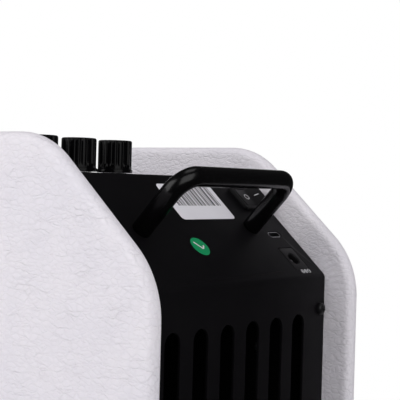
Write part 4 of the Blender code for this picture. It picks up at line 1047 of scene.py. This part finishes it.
def make_charging_socket():
    """The charging socket: its shell, dark as painted shade inside, a bright rim, the tongue and the
    contacts.
    """
    seat = SLANT_PLACE @ at(*USB_AT)
    mouth = -SEAT
    bm = rounded_plate(*USB_SIZE, -USB_DEPTH, mouth, USB_SIZE[1] / 2 - HAIR, steps=10)
    rim = face_at(bm, mouth)
    inset(bm, rim, USB_WALL)
    push(bm, rim, -USB_POCKET)
    soften(bm, USB_EDGE, segments=2, angle=60)
    # The shell is dark steel as painted shade inside the socket's mouth; only the rim piece shows the bright
    # steel.
    new_piece("charging_shell", bm, "black_steel", seat, stands_for=["usb_socket"])

    width, length = (size - 0.06 * MM for size in USB_SIZE)
    ends = ((mouth + 0.05 * MM, True), (mouth, False))
    bm = rounded_plate(width, length, mouth, ends[0][0], length / 2 - HAIR, steps=10)
    for end in ends:
        inset(bm, face_at(bm, *end), USB_RIM)
    bmesh.ops.delete(bm, geom=[face_at(bm, *end) for end in ends], context="FACES")
    bmesh.ops.bridge_loops(bm, edges=open_edges(bm))
    face_outwards(bm)
    new_piece("charging_rim", bm, "steel", seat)

    tongue = rounded_plate(*TONGUE_SIZE, mouth - USB_POCKET, mouth - 1.4 * MM,
                           corner=0.25 * MM, edge=0.1 * MM, steps=3)
    new_piece("charging_tongue", tongue, "moulded", seat)
    contacts = bmesh.new()
    for side in (-1, 1):
        for index in range(CONTACT_COUNT):
            strip = rounded_plate(*CONTACT_SIZE, mouth - 6 * MM, mouth - 1.8 * MM, corner=HAIR, steps=1)
            x = (index - (CONTACT_COUNT - 1) / 2) * CONTACT_PITCH
            add_mesh(contacts, strip, seat @ at(x, side * CONTACT_OFFSET))
    new_piece("charging_contacts", contacts, "gold")


def make_barrel_socket():
    """The barrel socket with its bore and its pin."""
    seat = SLANT_PLACE @ at(*DC_AT)
    bm = rounded_plate(*DC_SIZE, -DC_DEPTH, 0.0, corner=1.0 * MM, edge=0.25 * MM)
    bore = turned([(0, -9 * MM), (DC_BORE, -9 * MM), (DC_BORE, -0.5 * MM), (DC_BORE + 0.6 * MM, 0.1 * MM),
                   (0, 0.1 * MM)], sides=48)
    new_piece("barrel_body", cut_out(bm, bore), "moulded", seat, stands_for=["dc_socket"])
    pin = in_mm([(0, -8.9), (1.0, -8.9), (1.0, -2.2), (0.8, -1.7), (0.35, -1.5), (0, -1.48)])
    new_piece("barrel_pin", turned(pin, sides=32), "steel", seat)


def make_rear_screws():
    """Pan-head screws with a cross recess."""
    dome = [(2.7 * math.cos(turn), 0.7 + 1.4 * math.sin(turn)) for turn in quarter(8)]
    profile = in_mm([(0, -6), (1.5, -6), (1.5, 0), (2.7, 0), (2.7, 0.7)] + dome)
    for number in NUMBERS:
        low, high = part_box(f"shell_screw_{number}")
        middle = (low + high) / 2
        seat = Matrix.Translation((middle.x, REAR_Y + SEAT, middle.z)) @ FACE_REAR
        bm = turned(profile, sides=40)
        for arm in (CROSS_ARM, CROSS_ARM[::-1]):
            bm = cut_out(bm, rounded_plate(*arm, 1.05 * MM, 3 * MM, corner=0.12 * MM, steps=2))
        new_piece(f"rear_screw_{number}", bm, "black_steel", seat @ about_z(0.4 + 0.9 * number),
                  stands_for=[f"shell_screw_{number}"], sharp=30)


# Top panel.


def make_knob(name, x):
    """A fluted knob on a slim skirt, dished on top, with a white pointer."""
    wall = [(KNOB_SIDE, KNOB_FOOT + WALL_STEP * step) for step in range(1, WALL_STEPS + 1)]
    shoulder = [(KNOB_SIDE - KNOB_ROUND * (1 - math.cos(turn)), KNOB_SHOULDER + KNOB_ROUND * math.sin(turn))
                for turn in quarter(5)]
    bm = turned(in_mm(KNOB_SKIRT + wall + shoulder + KNOB_CROWN), KNOB_FLUTES * 10)
    for vert in bm.verts:
        reach = vert.co.xy.length
        if reach < FLUTE_INNER or vert.co.z < FLUTE_FOOT:
            continue
        turn = math.atan2(vert.co.y, vert.co.x) * KNOB_FLUTES / (2 * math.pi)
        across = abs(turn - math.floor(turn) - 0.5) * 2
        groove = math.cos(min(1.0, across / FLUTE_SHARE) * math.pi / 2)
        foot = smooth_step(*FLUTE_RUN_OUT, vert.co.z + FLUTE_CURVE * (1 - groove) - FLUTE_DROP)
        rim = smooth_step(FLUTE_INNER, FLUTE_OUTER, reach)
        vert.co.xy *= 1 - FLUTE_DEPTH / (KNOB_SIDE * MM) * groove * foot * rim
    face_outwards(bm)
    seat = TOP_PLACE @ at(x, KNOB_ROW_Y)
    body = name + "_control"
    new_piece(name + "_grip", bm, "knob_gloss", seat, body, [name + "_knob"], sharp=42)

    line = rounded_plate(*POINTER_SIZE, -0.1 * MM, 0.06 * MM, corner=0.4 * MM, edge=0.03 * MM, steps=4)
    lowest = seat @ about_z(math.radians(DIAL_LOWEST))
    new_piece(name + "_pointer", line, "print", lowest @ at(POINTER_REACH, 0, KNOB_TOP - 0.2 * MM), body)


def make_dials():
    """Ticks round each knob, with plain numbers at the ends and in the middle."""
    ink = bmesh.new()
    for x in KNOB_PLACES.values():
        centre = TOP_PLACE @ at(x, KNOB_ROW_Y, HAIR)
        for step in range(DIAL_TICKS):
            turn = math.radians(DIAL_LOWEST - DIAL_STEP * step)
            long = step % 5 == 0
            tick = bar_print((1.3 if long else 0.8) * MM, 0.28 * MM)
            add_mesh(ink, tick, centre @ about_z(turn) @ at(TICK_REACH, 0))
            if long:
                spot = at(NUMBER_REACH * math.cos(turn), NUMBER_REACH * math.sin(turn))
                add_mesh(ink, digit_print(str(step), 2.1 * MM), centre @ spot)
    new_piece("dial_print", ink, "print")


def ring_nut(name, seat, bore, radius, notches):
    """A low ring nut round a socket, with notches for a pin spanner."""
    low = 0.02 * MM
    high = 0.45 * MM
    bm = turned([(bore, low), (radius, low), (radius, high - 0.12 * MM), (radius - 0.12 * MM, high),
                 (bore + 0.1 * MM, high), (bore, high - 0.1 * MM)], sides=72, ring=True)
    for index in range(notches):
        notch = rounded_plate(*NOTCH_SIZE, low + 0.2 * MM, high + MM, corner=0.2 * MM, steps=3)
        set_place(notch, about_z(2 * math.pi * index / notches + 0.3) @ at(radius, 0))
        bm = cut_out(bm, notch)
    new_piece(name, bm, "steel", seat, sharp=30)


def jack_profile(bore, mouth, lip_in, lip, body, bore_depth, depth):
    """A jack's ring profile: the bore, a softened lip in the panel and the body under it."""
    return [(bore, -bore_depth), (bore, -0.2), (mouth, 0), (lip_in, 0), (lip, -0.2), (lip, -1.5),
            (body, -1.5), (body, -depth), (bore, -depth)]


def make_jacks():
    """The instrument and headphone sockets with their ring nuts, and the push button."""
    for name, node, x, sizes, sides, nut in (
            ("instrument", "input_jack", INPUT_X, INPUT_JACK, 56, (5.7 * MM, 8.4 * MM, 6)),
            ("phones", "phones_jack", PHONES_X, PHONES_JACK, 48, (3.1 * MM, 4.8 * MM, 4))):
        seat = TOP_PLACE @ at(x, JACK_ROW_Y)
        socket = turned(in_mm(jack_profile(*sizes)), sides, ring=True)
        new_piece(name + "_socket", socket, "moulded", seat, stands_for=[node])
        ring_nut(name + "_ring", seat, *nut)

    seat = TOP_PLACE @ at(BUTTON_X, JACK_ROW_Y)
    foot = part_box("mode_button")[0].z - TOP_Z
    cap = turned(in_mm(BUTTON_PROFILE) + [(1.5 * MM, foot), (0, foot)], sides=48)
    new_piece("mode_cap", cap, "knob_gloss", seat, "mode_key", ["mode_button"])


# Stickers and prints on the slanted panel.


def make_label():
    """A white film label with plain bars."""
    width, length = (high - low for low, high in zip(LABEL_LOW, LABEL_HIGH))
    middle = [(low + high) / 2 for low, high in zip(LABEL_LOW, LABEL_HIGH)]
    bm = rounded_plate(width, length, HAIR, FILM, LABEL_CORNER, edge=0.03 * MM)
    new_piece("white_label", bm, "label_film", SLANT_PLACE @ at(*middle))
    ink = bmesh.new()
    x = BARS_FROM
    index = 0
    while x < BARS_TO:
        width = BAR_MODULE * BAR_MODULES[index % len(BAR_MODULES)]
        bar = rounded_plate(width, BAR_LENGTH, FILM, FILM + PRINT, corner=0.03 * MM, steps=1)
        add_mesh(ink, bar, SLANT_PLACE @ at(x + width / 2, BARS_DOWN))
        x += width + BAR_MODULE * GAP_MODULES[index % len(GAP_MODULES)]
        index += 1
    new_piece("label_bars", ink, "label_ink")


def make_sticker():
    """A round green sticker with a tick."""
    seat = SLANT_PLACE @ at(*STICKER_AT)
    disc = turned([(0, HAIR), (STICKER_RADIUS, HAIR), (STICKER_RADIUS, 0.05 * MM),
                   (STICKER_RADIUS - 0.05 * MM, FILM), (0, FILM)], sides=64)
    new_piece("green_sticker", disc, "green_film", seat)
    tick = bmesh.new()
    for length, turn, x, y in ((2.6, 45, -1.75, 0.55), (5.2, -52, 0.75, -0.55)):
        stroke = bar_print(length * MM, TICK_WIDTH)
        add_mesh(tick, stroke, seat @ at(x * MM, y * MM, FILM) @ about_z(math.radians(turn)))
    new_piece("sticker_tick", tick, "print")


def make_polarity():
    """The usual sign for a barrel socket's polarity: three rings on one line, the middle one with a dot."""
    seat = SLANT_PLACE @ at(*POLARITY_AT, HAIR)
    spacing = POLARITY_SPACING
    marks = [(dot_print(0.45 * MM), 0, 0)]
    for x in (-spacing, 0, spacing):
        marks.append((ring_print(POLARITY_RING, POLARITY_LINE), x, 0))
    for x, turn in ((-spacing, 0), (spacing, 0), (spacing, math.pi / 2)):
        marks.append((bar_print(1.1 * MM, POLARITY_LINE), x, turn))
    for side in (-1, 1):
        marks.append((bar_print(0.7 * MM, POLARITY_LINE), side * spacing / 2, 0))
    ink = bmesh.new()
    for mark, x, turn in marks:
        add_mesh(ink, mark, seat @ at(x, 0) @ about_z(turn))
    new_piece("polarity_print", ink, "print")


# Front and underside.


def perforated_sheet(width, height):
    """A flat sheet with staggered holes: one six-sided cell with a hole, repeated and cut to size."""
    bm = bmesh.new()
    add_ring(bm, 6, MESH_PITCH / math.sqrt(3), about_z(math.pi / 6))
    bmesh.ops.subdivide_edges(bm, edges=bm.edges[:], cuts=1)
    rim = set(bm.edges)
    add_ring(bm, 12, MESH_HOLE, about_z(math.pi / 6))
    bmesh.ops.bridge_loops(bm, edges=list(rim) + [edge for edge in bm.edges if edge not in rim])
    columns = math.ceil((width - 2 * GRILLE_BORDER) / MESH_PITCH) + 1
    rows = math.ceil((height - 2 * GRILLE_BORDER) / MESH_ROW) + 1
    cell = whole(bm)
    for column in range(1, columns):
        repeat(bm, cell, column * MESH_PITCH, 0)
    strip = whole(bm)
    for row in range(1, rows):
        repeat(bm, strip, MESH_PITCH / 2 * (row % 2), row * MESH_ROW)
    weld(bm, NEAR)
    set_place(bm, at((1.5 - columns) * MESH_PITCH / 2, (1 - rows) * MESH_ROW / 2, -GRILLE_RECESS))
    reach_x = width / 2 - SHEET - MESH_TUCK
    reach_y = height / 2 - SHEET - MESH_TUCK
    for normal in ((-1, 0, 0), (1, 0, 0), (0, -1, 0), (0, 1, 0)):
        spot = (normal[0] * reach_x, normal[1] * reach_y, 0)
        bmesh.ops.bisect_plane(bm, geom=whole(bm), plane_co=spot, plane_no=normal, clear_outer=True)
    face_outwards(bm)
    face_upwards(bm, bm.faces[:][0])
    return bm


def make_grille():
    """A perforated steel grille in a folded rim."""
    low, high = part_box("grille")
    width, depth, height = high - low
    middle = (low + high) / 2
    upright = Matrix.Translation((0, low.y, middle.z)) @ Matrix.Rotation(math.pi / 2, 4, "X")
    bm = rounded_plate(width, height, -depth, 0.0, GRILLE_CORNER, GRILLE_EDGE)
    face = face_at(bm, 0.0)
    inset(bm, face, GRILLE_BORDER - GRILLE_EDGE)
    inner = push(bm, face, -GRILLE_RECESS)
    back = face_at(bm, -depth, up=False)
    inset(bm, back, SHEET)
    pushed = push(bm, back, depth - GRILLE_RECESS - SHEET)
    inset(bm, pushed, GRILLE_BORDER - SHEET)
    bmesh.ops.delete(bm, geom=[inner, pushed], context="FACES")
    bmesh.ops.bridge_loops(bm, edges=open_edges(bm))
    face_outwards(bm)
    new_piece("grille_rim", bm, "powder_coat", upright, stands_for=["grille"])
    piece = new_piece("grille_perforated", perforated_sheet(width, height), "powder_coat", upright)
    thicken(piece, "sheet_thickness", MESH_SHEET, even=False)


def make_feet():
    """Round rubber feet with a softened edge and a screw recess."""
    for number in NUMBERS:
        low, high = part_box(f"foot_{number}")
        middle = (low + high) / 2
        top = high.z
        profile = in_mm([(4.4, 0.5), (4.9, 0), (7.6, 0), (8.2, 0.25), (8.5, 0.9)])
        profile += [(9.3 * MM, top - 1.2 * MM), (9.3 * MM, top - 0.5 * MM), (8.9 * MM, top), (2.3 * MM, top)]
        profile += in_mm([(2.3, 6), (4.4, 6)])
        bm = turned(profile, sides=56, ring=True)
        new_piece(f"rubber_foot_{number}", bm, "rubber", at(middle.x, middle.y),
                  stands_for=[f"foot_{number}"])


# Studio.


def make_stage():
    """A pale floor that keeps the shadow near the object and runs out to white."""
    bm = bmesh.new()
    bmesh.ops.create_circle(bm, cap_ends=True, segments=96, radius=FLOOR_RADIUS)
    floor = as_object("floor", as_mesh("floor", bm))
    made, tree = new_material("studio_floor")
    shader = set_shader(
        tree, {"Base Color": (0.80, 0.80, 0.80, 1.0), "Roughness": 0.9, "Specular IOR Level": 0.1})
    away = vector_math(tree, "LENGTH", object_place(tree), output="Value")
    seen, mirrored = ray_kinds(tree)
    shown = times(tree, seen, ramp(tree, away, *FLOOR_FADE))
    white, dim = (add_node(tree, "Emission", {"Color": (*WHITE, 1.0), "Strength": strength}).outputs[0]
                  for strength in (1.0, 0.03))
    open_floor = add_node(tree, "MixShader", {0: shown, 1: shader.outputs[0], 2: white}).outputs[0]
    surface = add_node(tree, "MixShader", {0: mirrored, 1: open_floor, 2: dim}).outputs[0]
    feed(tree, tree.nodes["Material Output"].inputs["Surface"], surface)
    floor.data.materials.append(made)


def make_camera():
    """The camera at the photograph's place."""
    data = bpy.data.cameras.new("camera")
    data.lens = LENS
    data.sensor_width = SENSOR
    data.clip_start = 0.01
    data.clip_end = 50
    camera = as_object("camera", data)
    axes = Matrix((CAMERA_RIGHT, CAMERA_UP, -CAMERA_AHEAD)).transposed()
    camera.matrix_world = Matrix.Translation(CAMERA_AT) @ axes.to_4x4()
    bpy.context.scene.camera = camera


def add_softbox(name, direction, side, power):
    """A soft square lamp, aimed at the object."""
    data = bpy.data.lights.new(name, "AREA")
    data.shape = "SQUARE"
    data.size = side
    data.energy = power
    lamp = as_object(name, data)
    aim = Vector(direction).normalized()
    lamp.location = LAMP_AIM + aim * LAMP_DISTANCE
    lamp.rotation_mode = "QUATERNION"
    lamp.rotation_quaternion = aim.to_track_quat("Z", "Y")


def make_light():
    """A plain studio: a dim even room, white where the background shows, and soft lamps."""
    world = bpy.data.worlds.new("studio")
    bpy.context.scene.world = world
    world.use_nodes = True
    tree = world.node_tree
    tree.nodes.clear()
    ahead = add_node(tree, "TexCoord").outputs["Generated"]
    facing = vector_math(tree, "DOT_PRODUCT", ahead, CAMERA_AHEAD, "Value")
    seen, mirrored = ray_kinds(tree)
    shown = math_node(tree, "MAXIMUM", seen, times(tree, mirrored, ramp(tree, facing, *BACKDROP_FADE)))
    room = blend_colour(tree, mirrored, ROOM_LIGHT, ROOM_MIRRORED)
    glow = add_node(tree, "Background", {"Color": blend_colour(tree, shown, room, WHITE), "Strength": 1.0})
    feed(tree, add_node(tree, "OutputWorld").inputs["Surface"], glow.outputs[0])
    for lamp in LAMPS:
        add_softbox(*lamp)


def main():
    """Dress the part, piece by piece, and set the studio round it."""
    make_camera()
    dress_solids()
    make_cheek("right", 1)
    make_cheek("left", -1)
    make_shell()
    make_handle()
    make_switch()
    make_charging_socket()
    make_barrel_socket()
    make_rear_screws()
    for name, x in KNOB_PLACES.items():
        make_knob(name, x)
    make_dials()
    make_jacks()
    make_label()
    make_sticker()
    make_polarity()
    make_grille()
    make_feet()
    make_stage()
    make_light()
    bpy.context.scene.view_settings.view_transform = "Standard"


main()
